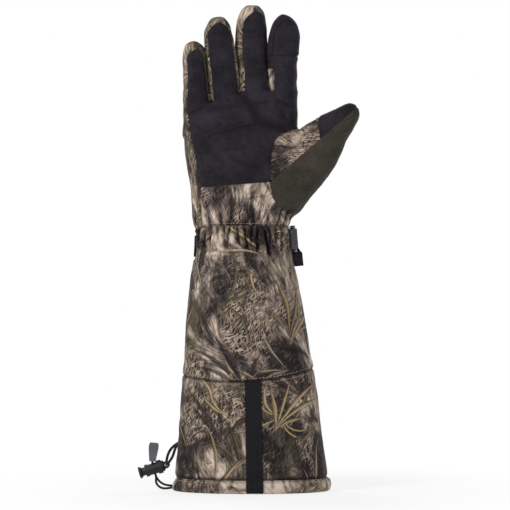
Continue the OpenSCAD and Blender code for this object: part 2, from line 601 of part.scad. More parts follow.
module cord_lock_plunger() {
  color(black) lock_frame() difference() {
    union() {
      along_x() translate([0, 0, -plunger_travel - 0.6]) cylinder(r = plunger_r, h = 13.4);
      along_x() translate([0, 0, -plunger_travel - 2.2]) cylinder(r1 = barrel_r - 0.4, r2 = plunger_r, h = 1.7);
      along_x() translate([0, 0, -plunger_travel - 4]) cylinder(r = barrel_r - 0.4, h = 1.9);
    }
    cord_slot(slot_x - plunger_travel, slot_x, 30);
  }
}

module cord_lock_spring() {
  x0 = 10.6;
  x1 = bore_l - 0.4;
  curls = 4;
  wire = 0.3;
  path = [for (k = [0 : curls * 8]) let (w = k / (curls * 8)) [mix(x0, x1, w), 3 * cos(360 * curls * w), 3 * sin(360 * curls * w)]];
  color(steel) lock_frame() bar(cord_rings(path, wire, 6, [1, 0, 0]));
}

// Tether: a narrow loop from the side seam of the gauntlet through the lug of the lock
tether_route = [
  [-73.1, 1.2, 44], [-75.6, 1.6, 42], [-78.4, 2.2, 38.2], [-80.8, 3, 33.4], [-82.4, 3.6, 28.8],
  [-82.9, 3.2, 25.4], [-83, 1.4, 24.4], [-83, -1.4, 24.4], [-82.9, -3.2, 25.4],
  [-80.6, -3.6, 28.8], [-78.2, -3, 33.2], [-76, -2.2, 37.6], [-74.8, -1.6, 40.4], [-73.2, -1.2, 42.2]
];
module cord_tether() {
  color(cord_c) bar(cord_rings(tether_route, 0.9, 8, [1, 0.3, 0.2]));
}

module in_frame() translate([frame_x, frame_y, 0]) children();

in_frame() {
  gauntlet_upper();
  gauntlet_lower();
  gauntlet_stripe();
  hem_channel();
  hem_cord();
  gauntlet_lining(true);  // gauntlet_lining_palm
  gauntlet_lining(false);  // gauntlet_lining_back
  wrist_gather();
  wrist_elastic();
  wrist_lining();
  wrist_strap();
  buckle_loop();
  strap_buckle();
  strap_tail();
  wrist_panel();
  palm_panel();
  back_panel();
  hand_lining(true);  // hand_lining_palm
  hand_lining(false);  // hand_lining_back
  finger_webs();
  thumb_panel();
  thumb_base_wipe();
  thumb_tip_patch();
  thumb_wipe_panel();
  thumb_lining();
  knuckle(index, true, black);  // index_knuckle_front
  knuckle(index, false, camo);  // index_knuckle_back
  index_front();
  index_back();
  index_tip_cap();
  index_tip_pad();
  finger_lining(index, index_rows());  // index_lining
  knuckle(middle, true, black);  // middle_knuckle_front
  knuckle(middle, false, camo);  // middle_knuckle_back
  finger_front(middle);  // middle_front
  finger_back(middle);  // middle_back
  finger_lining(middle, tip_rows(middle));  // middle_lining
  knuckle(ring, true, black);  // ring_knuckle_front
  knuckle(ring, false, camo);  // ring_knuckle_back
  finger_front(ring);  // ring_front
  finger_back(ring);  // ring_back
  finger_lining(ring, tip_rows(ring));  // ring_lining
  knuckle(little, true, black);  // little_knuckle_front
  knuckle(little, false, camo);  // little_knuckle_back
  finger_front(little);  // little_front
  finger_back(little);  // little_back
  finger_lining(little, tip_rows(little));  // little_lining
  draw_cord();
  cord_end();
  cord_lock_barrel();
  cord_lock_plunger();
  cord_lock_spring();
  cord_tether();
}
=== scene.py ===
import math

import bpy
import numpy as np
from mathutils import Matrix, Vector


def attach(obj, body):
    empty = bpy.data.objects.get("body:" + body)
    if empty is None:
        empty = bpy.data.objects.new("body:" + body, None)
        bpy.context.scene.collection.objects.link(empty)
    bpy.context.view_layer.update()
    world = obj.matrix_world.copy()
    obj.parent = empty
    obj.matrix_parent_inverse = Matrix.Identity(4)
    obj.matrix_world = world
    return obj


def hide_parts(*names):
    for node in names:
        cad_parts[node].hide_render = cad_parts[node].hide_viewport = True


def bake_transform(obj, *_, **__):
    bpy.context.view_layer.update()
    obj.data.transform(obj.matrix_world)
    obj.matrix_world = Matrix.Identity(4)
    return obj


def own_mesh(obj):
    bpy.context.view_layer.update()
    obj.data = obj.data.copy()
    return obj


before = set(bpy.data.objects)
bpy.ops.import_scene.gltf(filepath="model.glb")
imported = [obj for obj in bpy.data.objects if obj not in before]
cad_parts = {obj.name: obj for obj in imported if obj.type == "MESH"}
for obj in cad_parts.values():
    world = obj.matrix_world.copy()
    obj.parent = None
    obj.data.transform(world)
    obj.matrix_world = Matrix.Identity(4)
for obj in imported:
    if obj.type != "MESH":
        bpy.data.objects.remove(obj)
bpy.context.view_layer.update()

# Photo table
# The glove stands on its hem on a white sweep and is seen straight on from the palm side with a long
# lens. Broad soft lamps stand at both front sides and behind; the floor keeps only a faint shadow.
MM = 0.001
SHIFT = np.array((-12.2, 0.6, 0.0))
VIEW_AWAY = 2300.0
VIEW_MIDDLE = (1.92, 225.6)
VIEW_WIDTH = 489.6
SENSOR = 36.0
LAMP_AIM = np.array((0.0, 0.0, 0.22))


def placed(points):
    """Points drawn in millimetres about the middle of the hem, as metres in the part's frame."""
    return (np.asarray(points, float) + SHIFT) * MM


scene = bpy.context.scene
scene.view_settings.view_transform = "Standard"
lens = bpy.data.cameras.new("camera")
lens.sensor_width = SENSOR
lens.lens = SENSOR * VIEW_AWAY / VIEW_WIDTH
camera = bpy.data.objects.new("camera", lens)
camera.location = placed((VIEW_MIDDLE[0], -VIEW_AWAY, VIEW_MIDDLE[1]))
camera.rotation_euler = (math.pi / 2, 0, 0)
scene.collection.objects.link(camera)
scene.camera = camera


def soft_lamp(name, place, watts, size):
    """A square soft box that faces the middle of the glove."""
    data = bpy.data.lights.new(name, "AREA")
    data.shape = "SQUARE"
    data.size = size
    data.energy = watts
    lamp = bpy.data.objects.new(name, data)
    lamp.location = place
    lamp.rotation_mode = "QUATERNION"
    lamp.rotation_quaternion = Vector(LAMP_AIM - np.array(place)).to_track_quat("-Z", "Y")
    scene.collection.objects.link(lamp)


soft_lamp("key_lamp", (-1.4, -1.3, 1.0), 29.0, 0.5)
soft_lamp("fill_lamp", (1.3, -1.4, 0.5), 10.0, 0.8)
soft_lamp("back_lamp", (-1.0, 1.5, 1.0), 17.0, 0.8)
soft_lamp("side_lamp", (1.3, 1.2, 0.6), 12.0, 0.8)


class Dye:
    """A socket in a material's tree. Sums on it add Math nodes, and node() adds any other node."""

    def __init__(self, tree, socket=None):
        self.tree = tree
        self.socket = socket

    def node(self, kind, settings=None, sockets=None, out=0):
        """Adds a node with its settings and inputs, and gives one of its outputs."""
        made = self.tree.nodes.new(kind)
        for key, value in (settings or {}).items():
            if key == "stops":
                ramp = made.color_ramp.elements
                while len(ramp) < len(value):
                    ramp.new(1.0)
                for stop, (place, colour) in zip(ramp, value):
                    stop.position = place
                    stop.color = colour
            else:
                setattr(made, key, value)
        for key, value in (sockets or {}).items():
            if isinstance(value, Dye):
                self.tree.links.new(value.socket, made.inputs[key])
            else:
                made.inputs[key].default_value = value
        return Dye(self.tree, made.outputs[out])

    def also(self, out):
        """Another output of the node that this socket belongs to."""
        return Dye(self.tree, self.socket.node.outputs[out])

    def maths(self, operation, *terms):
        return self.node("ShaderNodeMath", {"operation": operation}, dict(enumerate(terms)))

    def __add__(self, other):
        return self.maths("ADD", self, other)

    def __sub__(self, other):
        return self.maths("SUBTRACT", self, other)

    def __rsub__(self, other):
        return self.maths("SUBTRACT", other, self)

    def __mul__(self, other):
        return self.maths("MULTIPLY", self, other)

    def __truediv__(self, other):
        return self.maths("DIVIDE", self, other)

    def __rtruediv__(self, other):
        return self.maths("DIVIDE", other, self)

    __radd__ = __add__
    __rmul__ = __mul__

    def step(self, low, high):
        """0 below low, 1 above high and a smooth rise between."""
        return self.node("ShaderNodeMapRange", {"interpolation_type": "SMOOTHSTEP"},
                         {"Value": self, "From Min": low, "From Max": high})

    def split(self):
        """The three parts of a vector or colour."""
        x = self.node("ShaderNodeSeparateXYZ", None, {0: self})
        return x, x.also(1), x.also(2)

    def point(self, x, y, z=0.0):
        return self.node("ShaderNodeCombineXYZ", None, {0: x, 1: y, 2: z})

    def noise(self, place, scale, detail=2.0, rough=0.5):
        return self.node("ShaderNodeTexNoise", None,
                         {"Vector": place, "Scale": scale, "Detail": detail, "Roughness": rough})

    def over(self, mask, below, above):
        """The colour above laid over the colour below where the mask is 1."""
        return self.node("ShaderNodeMix", {"data_type": "RGBA"}, {0: mask, 6: below, 7: above}, out=2)

    def ramp(self, *stops):
        return self.node("ShaderNodeValToRGB", {"stops": stops}, {0: self})

    def place(self):
        """The point on the piece, in metres of the part's frame."""
        return self.node("ShaderNodeTexCoord", out="Object")

    def cloth(self):
        """The distance across and along the piece's own cloth, in metres."""
        across, along, _ = self.node("ShaderNodeUVMap", {"uv_map": "cloth"}).split()
        return across, along


def tint(red, green, blue):
    """A colour as it is seen on a screen, 0 to 255, as linear light."""
    parts = []
    for value in (red, green, blue):
        value = value / 255
        parts.append(value / 12.92 if value <= 0.04045 else ((value + 0.055) / 1.055) ** 2.4)
    return (*parts, 1.0)


def new_material(name, constants=None):
    """A material with its principled shader, its constants set by socket, and a Dye to add nodes with."""
    material = bpy.data.materials.new(name)
    material.use_nodes = True
    shader = material.node_tree.nodes["Principled BSDF"]
    for key, value in (constants or {}).items():
        shader.inputs[key].default_value = value
    return material, shader, Dye(material.node_tree)


def finish_material(dye, shader, colour, rough, height=None, strength=0.3, distance=0.001):
    """Links colour, roughness and bump to the shader."""
    for key, value in (("Base Color", colour), ("Roughness", rough)):
        if isinstance(value, Dye):
            dye.tree.links.new(value.socket, shader.inputs[key])
        else:
            shader.inputs[key].default_value = value
    if height is not None:
        bump = dye.node("ShaderNodeBump", None,
                        {"Height": height, "Strength": strength, "Distance": distance})
        dye.tree.links.new(bump.socket, shader.inputs["Normal"])


def painted_fold_shade(dye, colour, amount):
    """The colour darkened as painted shade in folds and seams, where the piece's sunk attribute is above
    nought.
    """
    sunk = dye.node("ShaderNodeAttribute", {"attribute_name": "sunk"}, out="Fac")
    return dye.over(sunk * amount, colour, tint(17, 14, 15))


def seen_by_camera(dye):
    """1 for what the camera sees, straight or in a reflection, and 0 for light that falls on the glove."""
    ray = dye.node("ShaderNodeLightPath")
    mirrored = ray.maths("MAXIMUM", ray.also("Is Glossy Ray"), ray.also("Is Transmission Ray"))
    return ray.maths("MAXIMUM", ray, mirrored)


AMBIENT = 0.18
FLOOR_HALF, FLOOR_Z = 6.0, -0.0004
FLOOR_GLOW = 0.78
world = bpy.data.worlds.new("white_sweep")
scene.world = world
world.use_nodes = True
sky = world.node_tree.nodes["Background"]
sky.inputs["Color"].default_value = (1, 1, 1, 1)
sky_level = seen_by_camera(Dye(world.node_tree)) * (1 - AMBIENT) + AMBIENT
world.node_tree.links.new(sky_level.socket, sky.inputs["Strength"])

floor_mesh = bpy.data.meshes.new("floor")
floor_corners = [(FLOOR_HALF * x, FLOOR_HALF * y, FLOOR_Z) for x, y in ((-1, -1), (1, -1), (1, 1), (-1, 1))]
floor_mesh.from_pydata(floor_corners, [], [(0, 1, 2, 3)])
floor = bpy.data.objects.new("floor", floor_mesh)
scene.collection.objects.link(floor)
floor_paper, floor_shader, floor_dye = new_material("floor_paper", {"Base Color": (0.9, 0.9, 0.9, 1),
                                                                    "Roughness": 0.9})
glow = floor_dye.node("ShaderNodeEmission", None, {"Color": (1, 1, 1, 1), "Strength": 1.0})
floor_x, floor_y, _ = floor_dye.place().split()
far_off = floor_dye.maths("SQRT", floor_x * floor_x + floor_y * floor_y).step(0.1, 0.32)
whiter = seen_by_camera(floor_dye) * (far_off * (1 - FLOOR_GLOW) + FLOOR_GLOW)
paper = floor_dye.node("ShaderNodeMixShader", None, {0: whiter, 2: glow})
floor_dye.tree.links.new(floor_shader.outputs[0], paper.socket.node.inputs[1])
floor_dye.tree.links.new(paper.socket, floor_dye.tree.nodes["Material Output"].inputs["Surface"])
floor_mesh.materials.append(floor_paper)

# Gauntlet lining
# Brushed insulated lining that fills the gauntlet from the hem to the wrist, sewn as a palm half and
# a back half. It is seen only through the open hem.
HEM_Z = 12.2
SKIN = 1.4
LINING_PAD = 3.0
GATHER_LOW, GATHER_HIGH = 225.0, 253.5
TUBE_CURVE = 2.15
# height, middle x, half width, half depth
TUBE = np.array((
    (-20, -1, 73.3, 40), (0, -1, 73.3, 40), (12.2, -0.9, 73.3, 40), (38, -1.5, 70.4, 40.5),
    (96, -3.2, 64.6, 39.5), (125, -4.8, 60.8, 38.5), (165, -6.8, 56.6, 37), (185, -7.6, 53.8, 35.6),
    (206, -8.4, 50.6, 33), (225, -9.6, 46.8, 30), (239, -10.4, 45.4, 29), (253.5, -10.6, 45.2, 29),
    (280, -10.6, 45.2, 29)))


def bent(value, power):
    """A power that keeps the sign, which squares off a round outline."""
    return np.sign(value) * np.abs(value) ** power


def eased(table, blur=5.0):
    """A table of rows by height with its corners rounded off, as fine rows."""
    heights = np.arange(table[0, 0], table[-1, 0] + 0.25, 0.5)
    spread = np.arange(-24, 24.5, 0.5)
    weight = np.exp(-0.5 * (spread / blur) ** 2)
    weight /= weight.sum()
    columns = [heights]
    for column in table.T[1:]:
        fine = np.interp(np.arange(table[0, 0] - 24, table[-1, 0] + 24.25, 0.5), table[:, 0], column)
        columns.append(np.convolve(fine, weight, "valid")[:len(heights)])
    return np.array(columns).T


TUBE_FINE = eased(TUBE)


def row_at(table, key, *columns):
    """Columns of a table, read between its rows by the first column."""
    return [np.interp(key, table[:, 0], table[:, column]) for column in columns]


def tube(z, turn, out=0.0):
    """Points of the gauntlet tube at heights z and turns in radians, moved outwards."""
    middle, wide, deep = row_at(TUBE_FINE, z, 1, 2, 3)
    x = middle + (wide + out) * bent(np.cos(turn), 2 / TUBE_CURVE)
    y = (deep + out) * bent(np.sin(turn), 2 / TUBE_CURVE)
    return np.stack(np.broadcast_arrays(x, y, z), axis=-1)


def grid_faces(rows, columns, closed):
    """Quads of a grid of points, rows upwards and columns round, facing outwards."""
    r, c = np.meshgrid(np.arange(rows - 1), np.arange(columns if closed else columns - 1), indexing="ij")
    n = (c + 1) % columns
    low, high = r * columns, (r + 1) * columns
    return np.stack((low + c, low + n, high + n, high + c), axis=-1).reshape(-1, 4)


def wall_faces(rows, columns, closed):
    """Quads of an outer grid of points, of an inner grid that follows it, and of the edges between them."""
    count = rows * columns
    face = grid_faces(rows, columns, closed)
    around = np.arange(columns if closed else columns - 1)
    ahead = (around + 1) % columns
    top = (rows - 1) * columns
    faces = [face, face[:, ::-1] + count,
             np.stack((ahead, around, around + count, ahead + count), axis=1),
             np.stack((top + around, top + ahead, top + ahead + count, top + around + count), axis=1)]
    if not closed:
        near = np.arange(rows - 1) * columns
        far = near + columns - 1
        faces.append(np.stack((near, near + columns, near + columns + count, near + count), axis=1))
        faces.append(np.stack((far + columns, far, far + count, far + columns + count), axis=1))
    return np.concatenate(faces)


def past_seam(corners, whole):
    """Places round a ring at the corners of faces, a whole round on where a face crosses the start."""
    wraps = np.ptp(corners, axis=1) > whole / 2
    return corners + np.where(wraps[:, None] & (corners < whole / 2), whole, 0)


def make_piece(name, points, faces, material, cloth_uv=None, loop_normals=None, sunk=None):
    """A smooth mesh object from points in millimetres and lists of their numbers. cloth_uv holds one pair
    in millimetres for each face corner, and sunk how deep each point lies in a fold or seam, from 0 to 1,
    which the materials darken as painted shade."""
    mesh = bpy.data.meshes.new(name)
    mesh.from_pydata(placed(points).tolist(), [], faces)
    mesh.polygons.foreach_set("use_smooth", np.ones(len(mesh.polygons), bool))
    if cloth_uv is not None:
        layer = mesh.uv_layers.new(name="cloth")
        layer.data.foreach_set("uv", (np.asarray(cloth_uv, float) * MM).ravel())
    if sunk is not None:
        mesh.attributes.new("sunk", "FLOAT", "POINT").data.foreach_set("value", np.asarray(sunk, float))
    mesh.materials.append(material)
    if loop_normals is not None:
        mesh.normals_split_custom_set(np.asarray(loop_normals, float).tolist())
    made = bpy.data.objects.new(name, mesh)
    scene.collection.objects.link(made)
    return made


def wall_piece(name, outer, inner, closed, material, uv_grid=None):
    """A cloth wall between an outer and an inner grid of points, rows x columns x 3, its edges closed."""
    rows, columns = outer.shape[:2]
    faces = wall_faces(rows, columns, closed)
    points = np.concatenate((outer.reshape(-1, 3), inner.reshape(-1, 3)))
    uv = None
    if uv_grid is not None:
        uv = uv_grid.reshape(-1, 2)[faces % (rows * columns)]
        if closed:
            whole = (2 * uv_grid[:, -1, 0] - uv_grid[:, -2, 0]).max()
            uv[:, :, 0] = past_seam(uv[:, :, 0], whole)
        uv = uv.reshape(-1, 2)
    return make_piece(name, points, faces.tolist(), material, uv)


def dress(piece, slot, *nodes):
    """Lets a piece stand for plain solids of the frame, which are hidden. The slot is not used."""
    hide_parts(*nodes)
    return piece


def wave_field(points, size, seed, waves=14):
    """A smooth random height from -1 to 1 over points, its humps about size millimetres apart."""
    draw = np.random.default_rng(seed)
    total = np.zeros(points.shape[:-1])
    for _ in range(waves):
        way = draw.normal(size=points.shape[-1])
        way *= 2 * math.pi / (size * draw.uniform(0.7, 1.6) * np.linalg.norm(way))
        total += np.sin(points @ way + draw.uniform(0, 6.28))
    return total / math.sqrt(waves) / 1.6


def brushed_cloth(name, dark, light, fuzz=1.0):
    """Brushed pile: small tufts of lighter fibre over a darker ground, in object coordinates."""
    material, shader, dye = new_material(name, {"Sheen Weight": 0.08, "Sheen Roughness": 0.6,
                                                "Specular IOR Level": 0.1})
    place = dye.place()
    pile = dye.noise(place, 900, 4, 0.65)
    nap = dye.noise(place, 60, 4, 0.6)
    clump = dye.node("ShaderNodeTexVoronoi", {"feature": "SMOOTH_F1"},
                     {"Vector": place, "Scale": 640.0, "Smoothness": 0.6})
    tone = (pile * 0.5 + nap * 0.7 + clump * 0.2).step(0.3, 1.0)
    # painted shade: the pile is darkened in its folds and seams
    colour = painted_fold_shade(dye, dye.over(tone, dark, light), 0.6)
    finish_material(dye, shader, colour, 0.95, pile + clump, 0.55 * fuzz, 0.0012)
    return material


lining_pile = brushed_cloth("lining_pile", tint(38, 38, 38), tint(66, 65, 62))
lining_turns = 180
turns = np.linspace(0, 2 * math.pi, lining_turns, endpoint=False)
lining_rows = np.linspace(HEM_Z - 1.5, GATHER_LOW + 2, 90)[:, None]
quilt = 0.7 * wave_field(tube(lining_rows, turns[None]), 22, 5)
lining_in = -SKIN - 0.6 - np.interp(lining_rows, (180, 200, 225), (0, 1.0, 2.4))
half_span = lining_turns // 2
for side, first in (("palm", half_span), ("back", 0)):
    part = np.arange(first, first + half_span + 1) % lining_turns
    skin_out = tube(lining_rows, turns[None, part], lining_in)
    skin_in = tube(lining_rows, turns[None, part], lining_in - LINING_PAD + 0.4 + quilt[:, part])
    lining = wall_piece("gauntlet_pile_" + side, skin_out, skin_in, False, lining_pile)
    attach(dress(lining, "lining", "gauntlet_lining_" + side), "gauntlet")

# Printed gauntlet panels
# The shell is a quiet brushed polyester printed with a marsh of reeds: a straight lower panel and a
# tapered upper panel meet in a curved seam, and side seams join their palm and back halves.
# The top of the upper panel is drawn up by elastic into irregular gathers.
SEAM_MID, SEAM_RISE, SEAM_LEAN = 106.5, 7.0, 3.3
WRIST_DIP = 3.0
BLADES_EACH_WAY = 4.5
BACK_SHIFT = 700.0
FLAT_Z = 120.0
FLAT_GIRTH = TUBE[5, 2:].sum()


def reed_layer(dye, u, v, cell, lean, width, seed, spread=0.2, bend=1.2, share=0.5, length=(0.3, 0.5)):
    """Tufts of slender curved blades, one tuft to a cell. Gives how far a point is inside a blade, its place
    across and along the blade, the blade's chance, and a place that runs along the tuft's own lines."""
    c, s = math.cos(lean), math.sin(lean)
    a = (u * c + v * s) / cell + seed * 3.17
    b = (v * c - u * s) / cell + seed * 5.31
    spot = dye.node("ShaderNodeTexVoronoi", {"voronoi_dimensions": "2D"},
                    {"Vector": dye.point(a, b), "Scale": 1.0, "Randomness": 0.85}, out="Position")
    px, py, _ = spot.split()
    toss, turn, pick = spot.also("Color").split()
    x = (a - px) * cell
    y = (b - py) * cell + 0.36 * cell
    reach = dye.maths("SQRT", x * x + y * y)
    droop = reach * ((turn * 0.8 + 0.6) * (bend / cell)) + 1.0
    fan = (dye.maths("ARCTAN2", x, y) - (toss - 0.5) * 1.6) / droop
    number = fan / spread
    blade = dye.maths("ROUND", number)
    chance = dye.node("ShaderNodeTexWhiteNoise", {"noise_dimensions": "2D"},
                      {"Vector": dye.point(blade * 1.7 + turn * 91.0, pick * 57.0 + seed)}, out="Color")
    one, two, three = chance.split()
    along = reach / ((one * length[1] + length[0]) * cell)
    body = (along.step(0.0, 0.5) * 0.85 + 0.15) * (1.0 - along.step(0.45, 1.0))
    half = body * (two * 0.5 + 0.7) * width
    across = (number - blade - (three - 0.5) * 0.6) * droop * reach * spread
    inside = half - dye.maths("ABSOLUTE", across)
    luck = dye.maths("FRACT", one * 13.7 + two * 5.3 + three * 9.1)
    near = dye.maths("LESS_THAN", dye.maths("ABSOLUTE", blade), BLADES_EACH_WAY)
    grows = near * dye.maths("LESS_THAN", luck, share)
    inside = (inside + 6.0) * grows - 6.0
    return inside, across / (half + 0.2), along, one, dye.point(fan * reach, reach * 0.16, seed)


def reed_print(name, shift, light=0.0):
    """Printed cloth: soft light and dark ground, mats of dry stems and slender reed blades, in the cloth's
    own millimetres. shift chooses the part of the print, and light makes its ground lighter or darker."""
    material, shader, dye = new_material(name, {"Sheen Weight": 0.04, "Specular IOR Level": 0.1})
    across, along = dye.cloth()
    u = across * 1000.0 + shift[0]
    v = along * 1000.0 + shift[1]
    sway = dye.noise(dye.point(u, v), 0.018, 2).also("Color").split()
    uu = u + (sway[0] - 0.5) * 30.0
    vv = v + (sway[1] - 0.5) * 30.0
    hair_way = reed_layer(dye, uu, vv, 84.0, 0.2, 1.0, 5.0)[4]
    patch = dye.noise(dye.point(uu, vv * 0.75), 0.015, 2, 0.5)
    mottle = dye.noise(dye.point(uu, vv * 0.6), 0.055, 3, 0.6)
    streak = dye.noise(hair_way, 0.2, 3, 0.6)
    fur = dye.noise(hair_way, 1.0, 3, 0.7)
    ground = patch * 3.5 + mottle * 2.4 + streak * 1.7 + fur * 1.2 + (light - 3.9)
    colour = ground.ramp((0.04, tint(28, 24, 27)), (0.28, tint(53, 46, 47)), (0.5, tint(93, 82, 77)),
                         (0.72, tint(146, 130, 119)), (0.97, tint(208, 191, 175)))
    moss = dye.noise(dye.point(vv * 0.8, uu), 0.023, 2)
    colour = dye.over(moss.step(0.53, 0.66) * 0.42, colour, tint(80, 81, 54))
    mats = dye.noise(dye.point(uu + 311.0, vv * 0.8), 0.024, 2).step(0.49, 0.58)
    colour = dye.over(mats * 0.5, colour, tint(46, 39, 39))
    stems = ((0.5, tint(104, 90, 79), 7.0), (-0.45, tint(134, 117, 103), 19.0),
             (0.15, tint(158, 140, 123), 31.0), (-0.95, tint(186, 168, 148), 43.0))
    for turn, shade, seed in stems:
        c, s = math.cos(turn), math.sin(turn)
        stem_way = dye.point((uu * c + vv * s) * 1.0 + seed, (vv * c - uu * s) * 0.13 + seed * 3.0)
        stem = dye.noise(stem_way, 0.85, 2, 0.5)
        colour = dye.over(stem.step(0.55, 0.61) * (mats * 0.75 + 0.1), colour, shade)
    # cell, lean, half width, bend, seed, share of blades that grow, pale side, dark side, strength
    layers = (
        (104.0, 0.35, 3.4, 1.2, 11.0, 0.36, tint(52, 45, 45), tint(25, 21, 24), 0.85),
        (76.0, -0.6, 2.2, 1.2, 23.0, 0.3, tint(100, 96, 70), tint(46, 42, 34), 0.8),
        (84.0, 0.9, 1.7, 1.2, 37.0, 0.26, tint(168, 152, 132), tint(96, 82, 70), 0.85),
        (96.0, -0.9, 2.1, 2.6, 71.0, 0.28, tint(156, 135, 99), tint(66, 54, 41), 0.9),
        (72.0, 2.1, 1.8, 2.6, 91.0, 0.3, tint(184, 162, 118), tint(88, 71, 48), 0.9),
        (110.0, -0.2, 2.4, 2.0, 53.0, 0.26, tint(180, 160, 124), tint(82, 67, 49), 0.95))
    ub = u + (sway[0] - 0.5) * 8.0
    vb = v + (sway[1] - 0.5) * 8.0
    for cell, lean, width, bend, seed, share, pale, dark, weight in layers:
        inside, side, along, chance, _ = reed_layer(dye, ub, vb, cell, lean, width, seed, bend=bend,
                                                    share=share)
        colour = dye.over(inside.step(-1.6, 0.3) * (0.5 * weight), colour, tint(30, 25, 27))
        shade = (side * 0.5 + 0.5).step(0.0, 0.8) * (1.0 - along * 0.3) + (fur - 0.5) * 0.9
        blade = dye.over(shade.step(0.05, 0.95), dark, pale)
        colour = dye.over(inside.step(-0.1, 0.4) * (chance * 0.3 + 0.7) * weight, colour, blade)
    weave_u = dye.maths("SINE", u * 9.0)
    weave_v = dye.maths("SINE", v * 9.0)
    grain = dye.noise(dye.point(u, v), 2.6, 2)
    height = weave_u * weave_v * 0.25 + grain * 0.6 + streak * 0.3
    # painted shade: the print is darkened in the gathers, folds and seams
    finish_material(dye, shader, painted_fold_shade(dye, colour, 0.88), 0.86, height, 0.22, 0.0006)
    return material


def seam_height(turn):
    """Height of the curved seam between the two gauntlet panels."""
    return SEAM_MID + SEAM_RISE * np.cos(turn) ** 2 + SEAM_LEAN * np.cos(turn)


def ease(share):
    """A share from 0 to 1 with a soft start and end."""
    share = np.clip(share, 0, 1)
    return share * share * (3 - 2 * share)


def hump(off, wide):
    """A smooth hump, 1 in the middle and nearly nought at twice its width."""
    return np.exp(-(off / wide) ** 2)


def folds(u, z, span, rows, ending=2.2):
    """Height of a set of creased folds. A row is place round, top, length, sideways run, width, depth.
    A high ending closes the lower ends of the folds more sharply."""
    total = np.zeros(np.broadcast(u, z).shape)
    for place, top, length, run, width, depth in rows:
        down = (top - z) / length
        fade = ease(np.clip((1 - down) * ending, 0, 1) * np.clip((down + 0.22) / 0.3, 0, 1))
        off = (u - place - run * np.clip(down, -0.6, 1) + span / 2) % span - span / 2
        wide = width * (0.85 + 0.4 * np.clip(down, 0, 1.2))
        total -= fade * depth * np.exp(-((np.abs(off) / wide) ** 1.35))
        total += fade * depth * 0.4 * hump(np.abs(off) - 2.1 * wide, 1.1 * wide)
    return total


def gather_rows(seed, count, span, top, lengths, depths, widths, uneven):
    """Folds of a gathered edge, unevenly spaced and long and short by turns."""
    draw = np.random.default_rng(seed)
    rows = []
    for k in range(count):
        place = (k + draw.uniform(-uneven, uneven)) * span / count
        start = top + draw.uniform(-3.5, 1.5)
        rows.append((place, start, draw.uniform(*lengths), draw.normal(0, 2.2), draw.uniform(*widths),
                     draw.uniform(*depths)))
    # painted shade: the suede is darkened in its creases and seams
    return rows


WRIST_SPAN = 240.0
tight_folds = gather_rows(3, 45, WRIST_SPAN, 252, (17, 26), (2.6, 4.4), (1.0, 1.6), 0.3)
soft_folds = (gather_rows(9, 24, WRIST_SPAN, 251, (9, 16), (0.9, 2.0), (0.7, 1.1), 0.34)
              + gather_rows(33, 26, WRIST_SPAN, 238, (18, 34), (0.8, 1.8), (1.6, 2.8), 0.38)
              + gather_rows(21, 13, WRIST_SPAN, 244, (50, 85), (0.7, 1.5), (3.5, 6.0), 0.34))


def wrist_seam(turn):
    """Height of the seam between the gathers and the hand, which dips on the little finger side."""
    return GATHER_HIGH - WRIST_DIP * ease(-np.cos(turn) * 2.5 - 1.5)


def round_wrist(turn):
    """Distance round the wrist at a turn, as the rows of folds count it."""
    return (turn / (2 * math.pi)) % 1.0 * WRIST_SPAN


def gathers(turn, z):
    """Height of the wrist gathers over the tube."""
    place = round_wrist(turn)
    return folds(place, z, WRIST_SPAN, tight_folds, 4.5) + folds(place, z, WRIST_SPAN, soft_folds)


def run_along(path):
    """Distance along a path at each of its points."""
    return np.concatenate(((0,), np.cumsum(np.linalg.norm(np.diff(path, axis=0), axis=1))))


def round_panel(turn, z):
    """Distance round the gauntlet's cloth from the right side seam."""
    fine = np.linspace(0, 2 * math.pi, 721)
    wide, deep = row_at(TUBE_FINE, z, 2, 3)
    return np.interp(turn, fine, run_along(tube(FLAT_Z, fine))) * ((wide + deep) / FLAT_GIRTH)


def printed_tube(name, low, high, rows, columns, shape, material, bias=1.0):
    """A closed printed panel between two heights that may vary round the glove. shape(turn, z) gives its
    height over the tube and how far it is sunk in folds and seams."""
    turn = np.linspace(0, 2 * math.pi, columns, endpoint=False)[None]
    share = np.linspace(0, 1, rows)[:, None] ** bias
    z = low(turn) + (high(turn) - low(turn)) * share
    turn = turn + 0 * z
    out, sunk = shape(turn, z)
    outer, inner = tube(z, turn, out), tube(z, turn, out - SKIN + 0.3)
    points = np.concatenate((outer.reshape(-1, 3), inner.reshape(-1, 3)))
    faces = wall_faces(rows, columns, True)
    corner = faces % (rows * columns)
    corner_turn = past_seam(turn.reshape(-1)[corner], 2 * math.pi)
    corner_z = z.reshape(-1)[corner]
    palm_half = (corner_turn.mean(1) > math.pi)[:, None]
    middle = np.where(palm_half, 1.5, 0.5) * math.pi + 0 * corner_z
    across = round_panel(corner_turn, corner_z) - round_panel(middle, corner_z)
    uv = np.stack((across + np.where(palm_half, 0.0, BACK_SHIFT), corner_z), axis=-1).reshape(-1, 2)
    return make_piece(name, points, faces.tolist(), material, uv, sunk=np.tile(sunk.reshape(-1), 2))


def side_seams(turn):
    """Narrow grooves along the two side seams."""
    off = np.abs((turn + math.pi / 2) % math.pi - math.pi / 2) * 55
    return -0.7 * hump(off, 1.1) + 0.35 * hump(off - 3.2, 2.0)


def lower_shape(turn, z):
    """Height of the lower panel over the tube, and how far it is sunk in its seams."""
    spots = tube(z, turn)
    sewn = -0.8 * hump(z - seam_height(turn), 1.5) - 1.6 * hump(z - HEM_Z, 2.4) + side_seams(turn)
    soft = 0.9 * wave_field(spots * (1, 1, 0.45), 42, 21) + 0.25 * wave_field(spots, 13, 22)
    return soft + sewn, np.clip(-sewn, 0, 0.8)


STRAP_Z = 237.4
STRAP_TILT = math.radians(4.2)
WRIST_X, WRIST_WIDE, WRIST_DEEP = TUBE[10, 1:]


